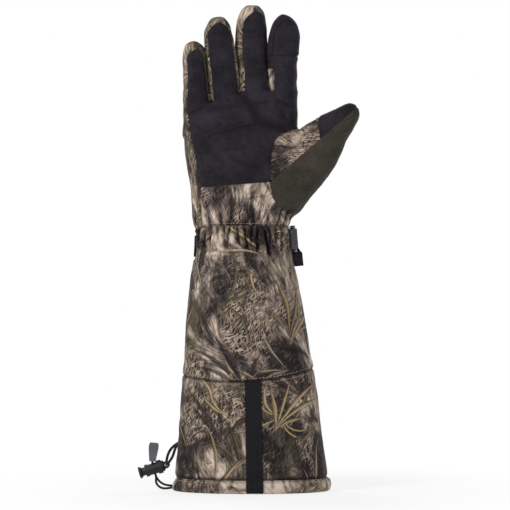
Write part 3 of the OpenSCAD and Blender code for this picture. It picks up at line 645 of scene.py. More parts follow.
def under_strap(turn, z):
    """1 where the strap presses on the wrist, on the back from the thumb side to the little finger side."""
    degrees = np.degrees(turn) % 360
    round_part = np.clip((degrees - 26) / 8, 0, 1) * np.clip((196 - degrees) / 8, 0, 1)
    middle = STRAP_Z + WRIST_WIDE * np.cos(turn) * math.sin(STRAP_TILT)
    return round_part * np.clip((14.5 - np.abs(z - middle)) / 3, 0, 1)


def upper_shape(turn, z):
    """Height of the upper panel over the tube, and how far it is sunk in its gathers and seams."""
    spots = tube(z, turn)
    soft = 1.0 * wave_field(spots * (1, 1, 0.4), 38, 31) + 0.25 * wave_field(spots, 12, 32)
    calm = np.interp(z, (180, 225, 245), (1, 0.6, 0.2))
    off = z - seam_height(turn)
    puff = -0.8 * hump(off, 1.5) + 0.5 * hump(off - 5, 4)
    palm_side = np.clip(-np.sin(turn) * 2.5, 0, 1)
    swell = (0.3 + 1.4 * palm_side) * hump(z - 236, 11) - 0.9 * hump(z - wrist_seam(turn), 1.6)
    left_in = -1.6 * np.clip(-np.cos(turn) * 3 - 2, 0, 1) * np.interp(z, (205, 228, 254), (0, 1, 0.3))
    beside = 1 - 0.65 * np.clip(np.abs(np.cos(turn)) * 4 - 3, 0, 1)
    gathered = beside * gathers(turn, z)
    drawn = np.clip(swell + gathered, -2.8, 2.4 + palm_side)
    pressed = under_strap(turn, z)
    drawn = drawn * (1 - pressed) + pressed * np.minimum(drawn, -0.6)
    sewn = puff + side_seams(turn) * np.interp(z, (200, 230), (1, 0.4))
    # how deep the panel lies in its gathers and seams, which the print darkens as painted shade
    sunk = np.clip(-0.4 * gathered - 0.1, 0, 1) + np.clip(-sewn, 0, 0.8)
    return soft * calm + sewn + left_in + drawn, np.clip(sunk, 0, 1)


upper_print = reed_print("upper_print", (40.0, 15.0), -0.08)
lower_print = reed_print("lower_print", (430.0, 260.0), 0.04)
upper = printed_tube("upper_panel_cloth", seam_height, wrist_seam, 124, 440, upper_shape, upper_print, 0.75)
dress(upper, "printed_shell", "gauntlet_upper", "wrist_gather")
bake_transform(upper)
lower = printed_tube("lower_panel_cloth", lambda turn: HEM_Z + 0 * turn, seam_height, 84, 372, lower_shape,
                     lower_print)
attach(dress(lower, "printed_shell", "gauntlet_lower"), "gauntlet")

# Tape stripe
# A flat black woven tape sewn over the palm side of the lower panel, from under the hem fold to the
# curved seam, a little off the middle.
STRIPE_W = 15.5
STRIPE_T = 0.9
STRIPE_LOW = 0.8
STRIPE_SEWN = 0.39
HEM_TOP = 13.6


def front_turn(x, z):
    """Turn of a point on the palm side of the gauntlet at a given x and height."""
    middle, wide = row_at(TUBE_FINE, z, 1, 2)
    return 2 * math.pi - np.arccos(bent(np.clip((x - middle) / wide, -0.999, 0.999), TUBE_CURVE / 2))


def woven_tape(name, dark, light, rib, shine=0.12):
    """Tight woven webbing: fine ribs across the tape and a twill along it, in the cloth's own millimetres."""
    material, shader, dye = new_material(name, {"Specular IOR Level": shine})
    across, along = dye.cloth()
    a = along * (1000.0 * 2 * math.pi / rib)
    b = across * (1000.0 * 2 * math.pi / (rib * 1.3))
    cross = dye.maths("SINE", a) * 0.5 + 0.5
    warp = dye.maths("SINE", b + dye.maths("SINE", a) * 0.8) * 0.5 + 0.5
    wear = dye.noise(dye.place(), 140, 3, 0.6)
    height = cross * 0.6 + warp * 0.4
    colour = dye.over((height * 0.55 + wear * 0.55).step(0.2, 0.95), dark, light)
    finish_material(dye, shader, colour, 0.8 - height * 0.15, height + wear * 0.4, 0.5, 0.0005)
    return material


stripe_tape = woven_tape("stripe_tape", tint(14, 13, 16), tint(29, 28, 32), 0.9)
half_share = np.array((0.2, 0.34, STRIPE_SEWN, 0.44, 0.485, 0.5))
stripe_share = np.concatenate((-half_share[::-1], (0,), half_share))[None]
stripe_top = seam_height(front_turn(STRIPE_W * stripe_share, SEAM_MID)) - 0.2
stripe_rise = np.concatenate((np.linspace(0, 0.125, 23), np.linspace(0.139, 1, 56)))[:, None]
stripe_z = STRIPE_LOW + (stripe_top - STRIPE_LOW) * stripe_rise
stripe_x = np.interp(stripe_z, (0, SEAM_MID), (1.7, 0.0)) + STRIPE_W * stripe_share
stripe_turn = front_turn(stripe_x, stripe_z)
on_hem = np.interp(stripe_z, (STRIPE_LOW, 2.0, 3.6, 6.4, 9.6, 11.6, HEM_TOP),
                   (1.6, 2.6, 3.3, 3.5, 2.8, 1.2, 0.0))
stripe_low = np.where(stripe_z < HEM_TOP, on_hem, lower_shape(stripe_turn, stripe_z)[0] + 0.3)
thin_edge = 0.4 * STRIPE_T * (np.abs(stripe_share) > 0.49)
sewn_in = 0.22 * (np.abs(np.abs(stripe_share) - STRIPE_SEWN) < 0.01)
stripe_high = stripe_low + STRIPE_T - thin_edge - sewn_in
stripe = wall_piece("stripe_tape", tube(stripe_z, stripe_turn, stripe_high),
                    tube(stripe_z, stripe_turn, stripe_low), False, stripe_tape,
                    np.stack((stripe_x, stripe_z), axis=-1))
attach(dress(stripe, "webbing", "gauntlet_stripe"), "gauntlet")

# Hem with its cord inside
# The bottom edge is the same printed cloth turned up inside into a channel, sewn along its top. A thin
# elastic cord runs round in the channel and puckers it, and leaves it by a slit on the left.
# offset outwards from the tube and height, from the inside round the bottom fold to the outside
HEM_FOLD = np.array((
    (-5.4, 9.8), (-5.4, 5), (-4.6, 1.6), (-2.8, 0.1), (0.4, 0.1), (1.9, 1.2), (2.7, 3.6), (2.9, 6.4),
    (2.2, 9.6), (0.6, 11.6), (-0.9, 12.5)))
HEM_CLOTH = 1.0
HEM_GIRTH = 385.0
HEM_ROW = 0.9
PUCKERS, PUCKER_STEP = 42, 9.3
SLIT_TURN, SLIT_HALF = math.pi, 0.085
SLIT_LOW, SLIT_HIGH = 0.9, 5.6
CORD_R = 1.1
HEM_CORD_Z, HEM_CORD_IN = 6.0, 1.6


def resample(path, count):
    """The same path as evenly spaced points on a smooth curve through its points."""
    path = np.asarray(path, float)
    before = np.concatenate((path[:1] * 2 - path[1:2], path, path[-1:] * 2 - path[-2:-1]))
    fine = []
    for k in range(1, len(before) - 2):
        a, b, c, d = before[k - 1:k + 3]
        w = np.linspace(0, 1, 24, endpoint=False)[:, None]
        square, cube = (2 * a - 5 * b + 4 * c - d) * w ** 2, (3 * b - a - 3 * c + d) * w ** 3
        fine.append(0.5 * (2 * b + (c - a) * w + square + cube))
    fine = np.concatenate(fine + [path[-1:]])
    run = run_along(fine)
    want = np.linspace(0, run[-1], count)
    return np.stack([np.interp(want, run, column) for column in fine.T], axis=-1)


def split_quads(quads):
    """Two triangles for each quad."""
    return np.concatenate((quads[:, (0, 1, 2)], quads[:, (0, 2, 3)]))


def unit(ways, least=1e-12):
    """Directions of length 1."""
    return ways / np.maximum(np.linalg.norm(ways, axis=-1, keepdims=True), least)


def vertex_normals(points, triangles):
    """Area-weighted normals of the vertices of a triangle mesh."""
    a, b, c = (points[triangles[:, k]] for k in range(3))
    flat = np.cross(b - a, c - a)
    total = np.zeros_like(points)
    for k in range(3):
        np.add.at(total, triangles[:, k], flat)
    return unit(total)


def cloth_piece(name, points, normals, uv, triangles, thick, material, sunk):
    """A cloth panel of some thickness from its outer face: an inner face and closed edges are added."""
    used, flat = np.unique(triangles, return_inverse=True)
    triangles = flat.reshape(-1, 3)
    points, normals, uv, sunk = points[used], normals[used], uv[used], sunk[used]
    count = len(points)
    edges = np.concatenate((triangles[:, (0, 1)], triangles[:, (1, 2)], triangles[:, (2, 0)]))
    a, b = edges[~np.isin(edges @ (1, count), edges @ (count, 1))].T
    rim = np.stack((b, a, a + count, b + count), axis=1)
    both = np.concatenate((points, points - normals * thick))
    rim_way = unit(np.cross(both[rim[:, 1]] - both[rim[:, 0]], both[rim[:, 3]] - both[rim[:, 0]]), 1e-9)
    face, back = triangles.reshape(-1), triangles[:, ::-1].reshape(-1)
    ways = np.concatenate((normals[face], -normals[back], np.repeat(rim_way, 4, axis=0)))
    faces = triangles.tolist() + (triangles[:, ::-1] + count).tolist() + rim.tolist()
    order = np.concatenate((face, back, rim.reshape(-1) % count))
    return make_piece(name, both, faces, material, uv[order], ways, np.tile(sunk, 2))


hem_path = resample(HEM_FOLD, 44)
hem_columns = 420
hem_turns = np.linspace(0, 2 * math.pi, hem_columns, endpoint=False)
hem_span = PUCKERS * PUCKER_STEP
pucker_rows = []
for k in range(PUCKERS):
    pucker_at = k * PUCKER_STEP + 2.5 * math.sin(k * 2.3)
    pucker_long = 9 + 5 * math.sin(k * 1.7) ** 2
    pucker_deep = 0.5 + 0.5 * math.sin(k * 3.3) ** 2
    pucker_rows.append((pucker_at, 13, pucker_long, 2 * math.sin(k * 4.1), 1.5, pucker_deep))
hem_z = hem_path[:, 1][:, None] + 0 * hem_turns[None]
outward = np.clip((hem_path[:, 0][:, None] + 1.5) / 3, 0, 1)
hem_pucker = folds(hem_turns[None] / (2 * math.pi) * hem_span, hem_z, hem_span, pucker_rows)
cord_side = np.clip(-4 * np.cos(hem_turns[None]) - 3, 0, 1)
hem_slant = cord_side * np.interp(hem_z, (0, 4, 9, 12.5), (1.5, 0.6, -1.2, -1.6))
hem_soft = 0.5 * wave_field(tube(hem_z, hem_turns[None]), 26, 41)
hem_out = hem_path[:, 0][:, None] + outward * (hem_pucker + hem_soft + hem_slant)
hem_grid = tube(hem_z, hem_turns[None] + 0 * hem_z, hem_out)
hem_faces = grid_faces(len(hem_path), hem_columns, True)
face_turn = hem_turns[hem_faces[:, 0] % hem_columns]
face_row = hem_faces[:, 0] // hem_columns
face_z = hem_path[face_row, 1]
slit = (np.abs(face_turn - SLIT_TURN) < SLIT_HALF) & (outward[face_row, 0] > 0.5)
slit &= (face_z > SLIT_LOW) & (face_z < SLIT_HIGH)
hem_triangles = split_quads(hem_faces[~slit])
hem_points = hem_grid.reshape(-1, 3)
run_round = np.linspace(0, HEM_GIRTH, hem_columns, endpoint=False)[None] + 0 * hem_z
hem_uv = np.stack((run_round, np.cumsum(np.full(hem_z.shape, HEM_ROW), axis=0)), axis=-1).reshape(-1, 2)
hem_print = reed_print("hem_print", (820.0, 90.0), 0.42)
# how deep the hem lies in its puckers and along its top seam, which the print darkens as painted shade
hem_sunk = np.clip(-hem_pucker, 0, 0.6) + 0.8 * np.clip((hem_z - 10.8) / 1.2, 0, 1) * outward
hem_normals = vertex_normals(hem_points, split_quads(hem_faces))
hem = cloth_piece("hem_cloth", hem_points, hem_normals, hem_uv, hem_triangles, HEM_CLOTH, hem_print,
                  hem_sunk.reshape(-1))
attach(dress(hem, "printed_shell", "hem_channel"), "gauntlet")


def sideways_along(path):
    """Two sideways directions at every point of a path, carried along without twist."""
    heading = unit(np.gradient(path, axis=0))
    side = np.cross(heading[0], (0.2, 0.5, 0.83))
    sides = []
    for way in heading:
        side = unit(side - way * (side @ way))
        sides.append(side)
    sides = np.array(sides)
    return sides, np.cross(heading, sides)


def end_caps(rows, columns):
    """Triangles from the first and last ring of a loft to their middle points, numbered after the rings."""
    around = np.arange(columns)
    ahead = (around + 1) % columns
    top = (rows - 1) * columns
    middle = np.full(columns, rows * columns)
    return np.concatenate((np.stack((ahead, around, middle), axis=1),
                           np.stack((top + around, top + ahead, middle + 1), axis=1)))


def cord_piece(name, path, radius, material, sides=14):
    """A round cord along a path in millimetres, with closed ends."""
    left, up = sideways_along(path)
    turn = np.linspace(0, 2 * math.pi, sides, endpoint=False)
    ring = left[:, None] * np.cos(turn)[None, :, None] + up[:, None] * np.sin(turn)[None, :, None]
    points = np.concatenate(((path[:, None] + radius * ring).reshape(-1, 3), path[:1], path[-1:]))
    faces = grid_faces(len(path), sides, True)
    caps = end_caps(len(path), sides)
    round_cord = past_seam(faces % sides, sides) * (2 * math.pi * radius / sides)
    side_uv = np.stack((round_cord, run_along(path)[faces // sides]), axis=-1)
    uv = np.concatenate((side_uv.reshape(-1, 2), np.zeros((caps.size, 2))))
    return make_piece(name, points, faces.tolist() + caps.tolist(), material, uv)


def braided_cord(name, dark, light, strand):
    """Round braid: two sets of slanted strands over each other."""
    material, shader, dye = new_material(name, {"Specular IOR Level": 0.25})
    across, along = dye.cloth()
    a = across * (1000.0 * 2 * math.pi / strand)
    b = along * (1000.0 * 2 * math.pi / (strand * 1.5))
    one = dye.maths("SINE", a + b) * 0.5 + 0.5
    two = dye.maths("SINE", a - b) * 0.5 + 0.5
    weave = dye.maths("MAXIMUM", one, two)
    fray = dye.noise(dye.place(), 900, 3, 0.6)
    colour = dye.over((weave * 0.7 + fray * 0.4).step(0.35, 1.0), dark, light)
    finish_material(dye, shader, colour, 0.75, weave + fray * 0.3, 0.6, 0.0004)
    return material


elastic_braid = braided_cord("elastic_braid", tint(12, 12, 14), tint(34, 33, 36), 0.86)
ring_turns = np.radians(np.linspace(186, 534, 150))
hem_cord_way = tube(np.full(ring_turns.shape, HEM_CORD_Z), ring_turns, -HEM_CORD_IN)
hem_cord = cord_piece("hem_cord_braid", hem_cord_way, CORD_R, elastic_braid, 10)
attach(dress(hem_cord, "cord", "hem_cord"), "gauntlet")

# Elastic and lining of the wrist
# A flat knitted elastic is stretched and sewn inside the gathers, and a short lining tube covers it.
RUFFLES, RUFFLE_DEEP = 60, 0.18
WRIST_RADIUS = 38
wrist_turns = np.linspace(0, 2 * math.pi, 120, endpoint=False)[None]


def wrist_ring(name, low, high, outside, thick, rows, material, replaced, slot):
    """A finely ruffled tube inside the gathers, its outside so far from the gauntlet tube."""
    z = np.linspace(low, high, rows)[:, None]
    ruffle = RUFFLE_DEEP * np.sin(wrist_turns * RUFFLES) + 0 * z
    grid_uv = np.stack((wrist_turns * WRIST_RADIUS + 0 * z, z + 0 * wrist_turns), axis=-1)
    made = wall_piece(name, tube(z, wrist_turns, outside + ruffle),
                      tube(z, wrist_turns, outside - thick + ruffle), True, material, grid_uv)
    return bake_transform(dress(made, slot, replaced))


knit_elastic = woven_tape("knit_elastic", tint(26, 26, 28), tint(64, 63, 64), 1.6)
wrist_ring("wrist_knit", 230, 249, -4.15, 0.8, 12, knit_elastic, "wrist_elastic", "elastic")
wrist_ring("wrist_pile", 225.25, 253.25, -5.5, 2.2, 16, lining_pile, "wrist_lining", "lining")

# Wrist strap
# Black polyester webbing sewn into the side seam on the little finger side. It runs round the back of
# the wrist to a ladder buckle at the thumb side. A short loop holds the buckle; the doubled free end droops.
STRAP_THICK = 1.5
STRAP_HALF = 10.2
LOOP_HALF = 9.6
BUCKLE_MID = np.array((49.1, 5.0))
BUCKLE_TURN = math.radians(5)
BAR_FIRST, BAR_R, BAR_GAP = -8.4, 1.6, 0.45


def strap_place(x, y, w):
    """A point of the strap's tilted plane, w across the strap, as a point of the glove."""
    c, s = math.cos(STRAP_TILT), math.sin(STRAP_TILT)
    return np.stack(np.broadcast_arrays(WRIST_X + x * c - w * s, y + 0 * w, STRAP_Z + x * s + w * c), axis=-1)


def strap_ring(turn, out):
    """Points of the strap's plane round the wrist, so far outside its cloth."""
    power = 2 / TUBE_CURVE
    return np.stack(((WRIST_WIDE + out) * bent(np.cos(turn), power),
                     (WRIST_DEEP + out) * bent(np.sin(turn), power)), axis=-1)


def buckle_spot(x, y):
    """A point of the strap's plane from the middle of the buckle, x away from the wrist."""
    c, s = math.cos(BUCKLE_TURN), math.sin(BUCKLE_TURN)
    return BUCKLE_MID + np.array((x * c - y * s, x * s + y * c))


def ribbon(name, middle, thick, material, replaced):
    """Webbing from a grid of its middle surface, along the ribbon by across it, with softly rounded edges."""
    along, across = np.gradient(middle, axis=0), np.gradient(middle, axis=1)
    way = unit(np.cross(across, along))
    edge = np.ones(middle.shape[1])
    edge[[0, -1]] = 0.45
    half = way * (thick / 2 * edge)[None, :, None]
    uv = np.stack(np.broadcast_arrays(run_along(middle[0])[None], run_along(middle[:, 0])[:, None]), axis=-1)
    made = wall_piece(name, middle + half, middle - half, False, material, uv)
    return dress(made, "webbing", replaced)


strap_webbing = woven_tape("strap_webbing", tint(20, 18, 21), tint(49, 46, 52), 1.3)
# painted highlight: the loop is black webbing like the strap, drawn in a lighter grey that stands in for the
# light along its edges
loop_webbing_painted_highlight = woven_tape("loop_webbing_painted_highlight", tint(48, 46, 50), tint(96, 94, 100), 1.3, 0.2)
across_share = np.array((-1, -0.97, -0.8, -0.4, 0, 0.4, 0.8, 0.97, 1))
thread_way = ((2.7, -0.6), (2.2, -2.7), (0.8, -3.9), (-1.2, -3.8), (-2.6, -2.2), (-2.9, 3), (-2.9, 9))
thread = np.array([buckle_spot(x, y) for x, y in thread_way])
strap_lines = []
for w in across_share * STRAP_HALF:
    wrist_turn = np.radians(np.arange(38, 187, 4.0))
    flat = strap_ring(wrist_turn, 1.0)
    height = strap_place(flat[:, 0], flat[:, 1], w)[:, 2]
    tuck = 1.5 * np.clip((np.degrees(wrist_turn) - 130) / 45, 0, 1)
    hug = tube(height, wrist_turn, 0.4 + STRAP_THICK / 2 - tuck)
    strap_lines.append(resample(np.concatenate((strap_place(thread[:, 0], thread[:, 1], w), hug)), 150))
strap = ribbon("strap_webbing", np.stack(strap_lines, axis=1), STRAP_THICK, strap_webbing, "wrist_strap")
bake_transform(strap)

loop_r = BAR_R + BAR_GAP + STRAP_THICK / 2
wrap_turn = math.radians(52) - np.radians(np.arange(-90, 91, 12))
wrap = np.array([buckle_spot(loop_r * math.cos(a), BAR_FIRST + loop_r * math.sin(a)) for a in wrap_turn])
loop_path = np.concatenate((strap_ring(np.radians([-17.0]), 1.2), wrap, strap_ring(np.radians([-16.0]), 2.9)))
loop_path = resample(loop_path, 60)
loop_grid = np.stack([strap_place(*loop_path.T, w) for w in across_share * LOOP_HALF], axis=1)
# the loop's lighter grey webbing is a painted highlight
buckle_loop = ribbon("loop_webbing_painted_highlight", loop_grid, STRAP_THICK, loop_webbing_painted_highlight, "buckle_loop")
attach(buckle_loop, "gauntlet")

tail_route = resample((
    (46.4, 18.6, -5.5), (47.4, 19.2, -8), (49.2, 16, -10.4), (51.1, 13, -12), (51.9, 12, -14),
    (52, 11.5, -19), (52.2, 11.2, -26.4)), 40)
tail_share = np.linspace(0, 1, len(tail_route))
tail_way = unit(np.gradient(tail_route, axis=0))
turning = np.interp(tail_share, (0, 0.25, 0.54), (0, 0, 1))[:, None]
tail_up = (1 - turning) * np.array((0.2, 0, 1)) + turning * np.array((1, 0.1, 0))
tail_up = unit(tail_up - tail_way * (tail_up * tail_way).sum(1)[:, None])
tail_side = np.cross(tail_way, tail_up)
tail_tall = np.interp(tail_share, (0, 0.2, 0.4, 0.49, 0.52, 1), (17, 14, 8, 7.4, 10.2, 10.4))
tail_thick = np.interp(tail_share, (0, 0.48, 0.54, 1), (1.5, 1.6, 3.2, 3.4))
tail_grid = tail_route[:, None] + tail_up[:, None] * (tail_tall[:, None] / 2 * across_share[None])[..., None]
tail_edge = np.where(np.abs(across_share) > 0.99, 0.5, 1)
tail_half = tail_side[:, None] * (tail_thick[:, None] / 2 * tail_edge[None])[..., None]
tail_walls = []
for grid in (tail_grid + tail_half, tail_grid - tail_half):
    tail_walls.append(strap_place(grid[..., 0], grid[..., 1], grid[..., 2]))
tail_uv = np.stack(np.broadcast_arrays(across_share[None] * 8, tail_share[:, None] * 24), axis=-1)
tail = wall_piece("tail_webbing", *tail_walls, False, strap_webbing, tail_uv)
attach(dress(tail, "webbing", "strap_tail"), "buckle")


def moulded(name, colour, rough):
    """Moulded plastic: fine spark texture and a faint mottle."""
    material, shader, dye = new_material(name, {"Specular IOR Level": 0.35})
    spark = dye.noise(dye.place(), 1500, 2, 0.5)
    mottle = dye.noise(dye.place(), 120, 3, 0.55)
    lighter = tuple(min(1, part * 1.5 + 0.002) for part in colour[:3]) + (1.0,)
    finish_material(dye, shader, dye.over((mottle * 0.6 + spark * 0.4).step(0.35, 0.75), colour, lighter),
                    mottle * 0.2 + (rough - 0.1), spark, 0.15, 0.0003)
    return material


def repaint(node, material):
    """Gives a rigid CAD part its finish."""
    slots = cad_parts[node].data.materials
    slots.clear()
    slots.append(material)


buckle_plastic = moulded("buckle_plastic", tint(66, 66, 71), 0.42)
repaint("strap_buckle", buckle_plastic)

# Hand, fingers and thumb
# One insulated hand of cloth panels: black suede over the palm and finger fronts, printed cloth over the
# back, fleece on the outside of the thumb. The panels are cut from one form, so that their seams meet.
RIM_Z, RIM_FALL = 383.0, 0.29
# height, middle x, half width, half depth
HAND = np.array((
    (236, -10.6, 44.2, 28), (253.5, -10.6, 45.1, 28.6), (262, -10.1, 46.6, 28.8), (271, -10.3, 48.2, 28.8),
    (291, -9.9, 49.7, 28), (307, -10.6, 51.8, 27), (322, -11, 53.3, 25.4), (346.5, -11.5, 54.7, 22),
    (358, -11.9, 54.9, 19.8), (383, -12.3, 54.5, 16.4), (400, -12.3, 54.5, 14)))
# height, left and right edge of the palm side
HAND_SEAMS = np.array((
    (236, -51, 33), (253.5, -51, 33.6), (262, -51, 36), (265, -51, 32.6), (271, -51, 25), (280, -50.6, 18.7),
    (291, -50.3, 16.5), (307, -52.8, 16.6), (322, -55.3, 17.3), (335, -57.8, 20.8), (342.5, -58.9, 28.3),
    (346.5, -59.4, 41.6), (358, -60.9, 41.6), (400, -62.2, 41)))
# heights of the thumb's hole in the side of the hand
HOLE_ROWS = np.array((262, 265, 271, 280, 291, 307, 322, 335, 342.5, 346.5))
HOLE_LOW, HOLE_TOP = HOLE_ROWS[[0, -1]]
# half height of the hole's round back edge, and millimetres round the hand in one radian
HOLE_HALF = 42.3
ROUND_HAND = 45
PALM_EDGE_X, PALM_EDGE_Z = (-50.3, 16.3), (290.0, 295.0)
HAND_FINE = eased(HAND, 3.0)
HAND_CLOTH, FLEECE_CLOTH = 1.1, 1.6


class Finger:
    """The outline and depth of one finger, and the part of its girth that the black front covers, in degrees.
    A row of the outline is height, left edge and right edge, from the crotch to the tip."""

    def __init__(self, outline, deep, curl, spread, back, black, arch):
        self.rows = np.array(outline, float)
        self.deep, self.curl, self.spread, self.back = deep, curl, spread, back
        self.black, self.arch = np.radians(black), arch
        self.base = self.rows[0, 1:].mean()
        self.foot = RIM_Z + RIM_FALL * min(0, self.base + 5)
        self.length = self.rows[-1, 0] - self.foot
        self.wide = (self.rows[:, 2] - self.rows[:, 1]).max() / 2

    def half(self, s):
        """Half width at a distance over the foot."""
        return np.interp(self.foot + s, self.rows[:, 0], (self.rows[:, 2] - self.rows[:, 1]) / 2)

    def girth(self, s):
        """Half width that doesn't close at the tip, to tell sides and neighbours by."""
        return self.half(np.minimum(s, self.length - 0.6 * self.wide))

    def middle(self, s):
        """The finger's middle line, which leans back at first and curls towards the palm."""
        s = np.asarray(s, float)
        share = s / self.length
        x = np.interp(self.foot + s, self.rows[:, 0], self.rows[:, 1:].mean(1))
        y = -0.4 - self.curl * share ** 2 + self.back * ease(share * 4)
        return np.stack((x, y, self.foot + s), axis=-1)

    def depth(self, s):
        """Half depth, which tapers a little and closes at the tip."""
        tip = self.length - 1.1 * self.wide
        closing = np.where(s > tip, np.minimum(1, self.half(s) / self.half(tip)) ** 0.8, 1)
        return self.deep * (1 - 0.045 * np.clip(s / self.length, 0, 1)) * closing

    def apart(self, z):
        """How far the finger is held away from its neighbours while the form is made."""
        return self.spread * ease((z - self.foot + 4) / 14)


FINGERS = {
    "index": Finger(((353, 15.7, 42.2), (386, 15.6, 42.2), (397, 14.7, 42.2), (409, 13.7, 42.2),
                     (417, 13.3, 43.2), (424, 14, 44.2), (432, 14.4, 45), (436, 15.2, 44.9),
                     (440, 16.2, 44.2), (443.5, 17.2, 43.1), (447.4, 18.5, 41.3), (451, 20.6, 38.6),
                     (453.6, 23.2, 35.4), (455.2, 26, 32), (456, 28.2, 29.8)),
                    12.6, 9, 7, -1.7, (236, 350), 0.42),
    "middle": Finger(((353, -13.2, 16.5), (386, -13.5, 16.6), (397, -14.6, 15.9), (409, -16, 15.1),
                      (420, -17.2, 14.6), (428, -17.5, 13.9), (436, -17, 13.4), (443, -16.4, 12.9),
                      (449, -15.2, 12.5), (455, -13, 12.2), (459, -10.6, 11.3), (462, -7.6, 9.6),
                      (463.8, -3.6, 6.6), (464.6, -0.4, 3.4)),
                     12.8, 8, 2, 1.9, (237, 348), 0.42),
    "ring": Finger(((343, -40.5, -11.8), (374, -40.5, -11.8), (386, -41.9, -12.3), (397, -43.3, -13.4),
                    (409, -44.7, -14.8), (420, -46, -16.2), (428, -46.9, -17.7), (436, -47, -19.7),
                    (440, -46.2, -20.2), (443.5, -44.8, -20.9), (447.4, -42.8, -22.2), (450.4, -39.8, -24),
                    (452.4, -36, -27), (453.3, -32.8, -30.2)),
                   12.4, 9, -2, -1.7, (223, 328), 0.42),
    "little": Finger(((336, -67.2, -39.3), (374, -67.2, -39.3), (386, -67, -40.7), (397, -66.9, -42.1),
                      (409, -67.5, -43.6), (415, -67.6, -44.4), (420, -67.2, -45.3), (424, -66, -46.8),
                      (426.6, -64, -48.8), (428.8, -60.6, -52.2), (429.8, -57.8, -55)),
                     12.0, 11, -7, 2.2, (231, 317), 0.65)}
FINGER_CURVE = 2.3
THUMB_A = np.array((28.8, -6.0, 305.3))
THUMB_B = np.array((100.4, -33.0, 367.0))
THUMB_WAY = unit(THUMB_B - THUMB_A)
THUMB_U = unit(np.cross(np.cross(THUMB_WAY, (-0.653, 0, 0.757)), THUMB_WAY))
THUMB_V = np.cross(THUMB_WAY, THUMB_U)
# distance along, half width, half depth, sideways shift
THUMB = np.array((
    (20, 32, 19, -9), (39, 26.2, 17.4, -4.4), (55, 20.8, 15.4, -2.4), (66, 17, 13.4, -0.8),
    (80, 12.6, 11, -0.3), (88, 10.4, 9.4, 0), (92.5, 7.8, 7.2, 0.4), (95, 4.8, 4.6, 0.8), (96, 1, 1, 0.8)))
THUMB_LENGTH = THUMB[-1, 0]
TIP_FROM, TIP_SLANT = 52.0, 9.0
BOW_AT = 30.0
HAND_SIDE_X, THUMB_ROOT = 43.8, 12.0


def crotch(x):
    """Height at which the fingers part from the hand, lower towards the little finger."""
    return RIM_Z + RIM_FALL * np.minimum(0, x + 5)


def hand_curve(z):
    """How square the hand is: as round as the gauntlet at the wrist, flatter over the palm."""
    return np.interp(z, (GATHER_HIGH, 292), (TUBE_CURVE, 2.4))


def hand_spot(z, turn, out):
    """Points of the plain hand at heights z and turns in radians, moved outwards."""
    middle, wide, deep = row_at(HAND_FINE, z, 1, 2, 3)
    power = 2 / hand_curve(z)
    return np.stack(np.broadcast_arrays(middle + (wide + out) * bent(np.cos(turn), power),
                                        (deep + out) * bent(np.sin(turn), power), z), axis=-1)


def palm_turn(x, z):
    """Turn, in radians from -pi to 0, of a point on the palm side at a given x and height."""
    middle, wide = row_at(HAND_FINE, z, 1, 2)
    return -np.arccos(bent(np.clip((x - middle) / wide, -0.999, 0.999), hand_curve(z) / 2))


def seam_turn(z, column):
    """Turn of the palm side's left or right seam, column 1 or 2, at a height."""
    return palm_turn(row_at(HAND_SEAMS, z, column)[0], z)


def thumb_back_turn(z):
    """Turn of the rounded back edge of the thumb's hole."""
    off = (z - (HOLE_LOW + HOLE_TOP) / 2) / HOLE_HALF
    return np.radians(3 + 30 * np.sqrt(np.maximum(0, 1 - off ** 2)))


def thumb_spot(s, turn, out):
    """Points of the plain thumb at distances along it and turns in radians, moved outwards."""
    wide, deep, shift = (column[..., None] for column in row_at(THUMB, s, 1, 2, 3))
    turn = turn[..., None]
    middle = THUMB_A + np.asarray(s)[..., None] * THUMB_WAY
    return (middle + THUMB_U * (shift + np.maximum(0.4, wide + out) * np.cos(turn))
            + THUMB_V * np.maximum(0.4, deep + out) * np.sin(turn))


def closed_loft(rings):
    """Points and faces of a loft of rings, each end closed to its middle."""
    rings = np.asarray(rings)
    rows, columns = rings.shape[:2]
    points = np.concatenate((rings.reshape(-1, 3), rings[0].mean(0)[None], rings[-1].mean(0)[None]))
    faces = split_quads(grid_faces(rows, columns, True))
    return points, np.concatenate((faces, end_caps(rows, columns)))


def hand_loft(out):
    """The hand without thumb and fingers, its top sheared to the line of the crotches."""
    turn = np.linspace(0, 2 * math.pi, 120, endpoint=False)
    rings = []
    for z in np.arange(240, 384, 2.0):
        ring = hand_spot(np.full(turn.shape, z), turn, out)
        shear = np.clip((z - HOLE_TOP) / (RIM_Z - HOLE_TOP), 0, 1)
        ring[:, 2] += shear * (crotch(ring[:, 0]) - RIM_Z)
        rings.append(ring)
    return closed_loft(rings)


TIP_STEPS = np.array((1, 0.9, 0.8, 0.7, 0.6, 0.5, 0.4, 0.3, 0.2, 0.12, 0.06, 0.02, 0.004))


def finger_loft(finger, out):
    """One finger from inside the hand to its tip."""
    turn = np.linspace(0, 2 * math.pi, 48, endpoint=False)[:, None]
    straight = np.arange(-30, finger.length - finger.wide, 2.5)
    rings = []
    for s in np.concatenate((straight, finger.length - finger.wide * TIP_STEPS)):
        mid = finger.middle(s)
        way = unit(finger.middle(s + 1) - finger.middle(s - 1))
        front = unit(np.cross(way, np.cross((0, 1, 0), way)))
        side = np.cross(front, way)
        flare = 1 + 0.2 * math.exp(-(s / 10) ** 2)
        pulled = mid + way * out * np.clip((s - finger.length + finger.wide) / finger.wide, 0, 1)
        ring = (pulled + side * max(0.4, finger.half(s) + out) * bent(np.cos(turn), 2 / FINGER_CURVE)
                + front * max(0.4, finger.depth(s) * flare + out) * bent(np.sin(turn), 2 / FINGER_CURVE))
        ring[:, 0] += finger.apart(ring[:, 2])
        rings.append(ring)
    return closed_loft(rings)


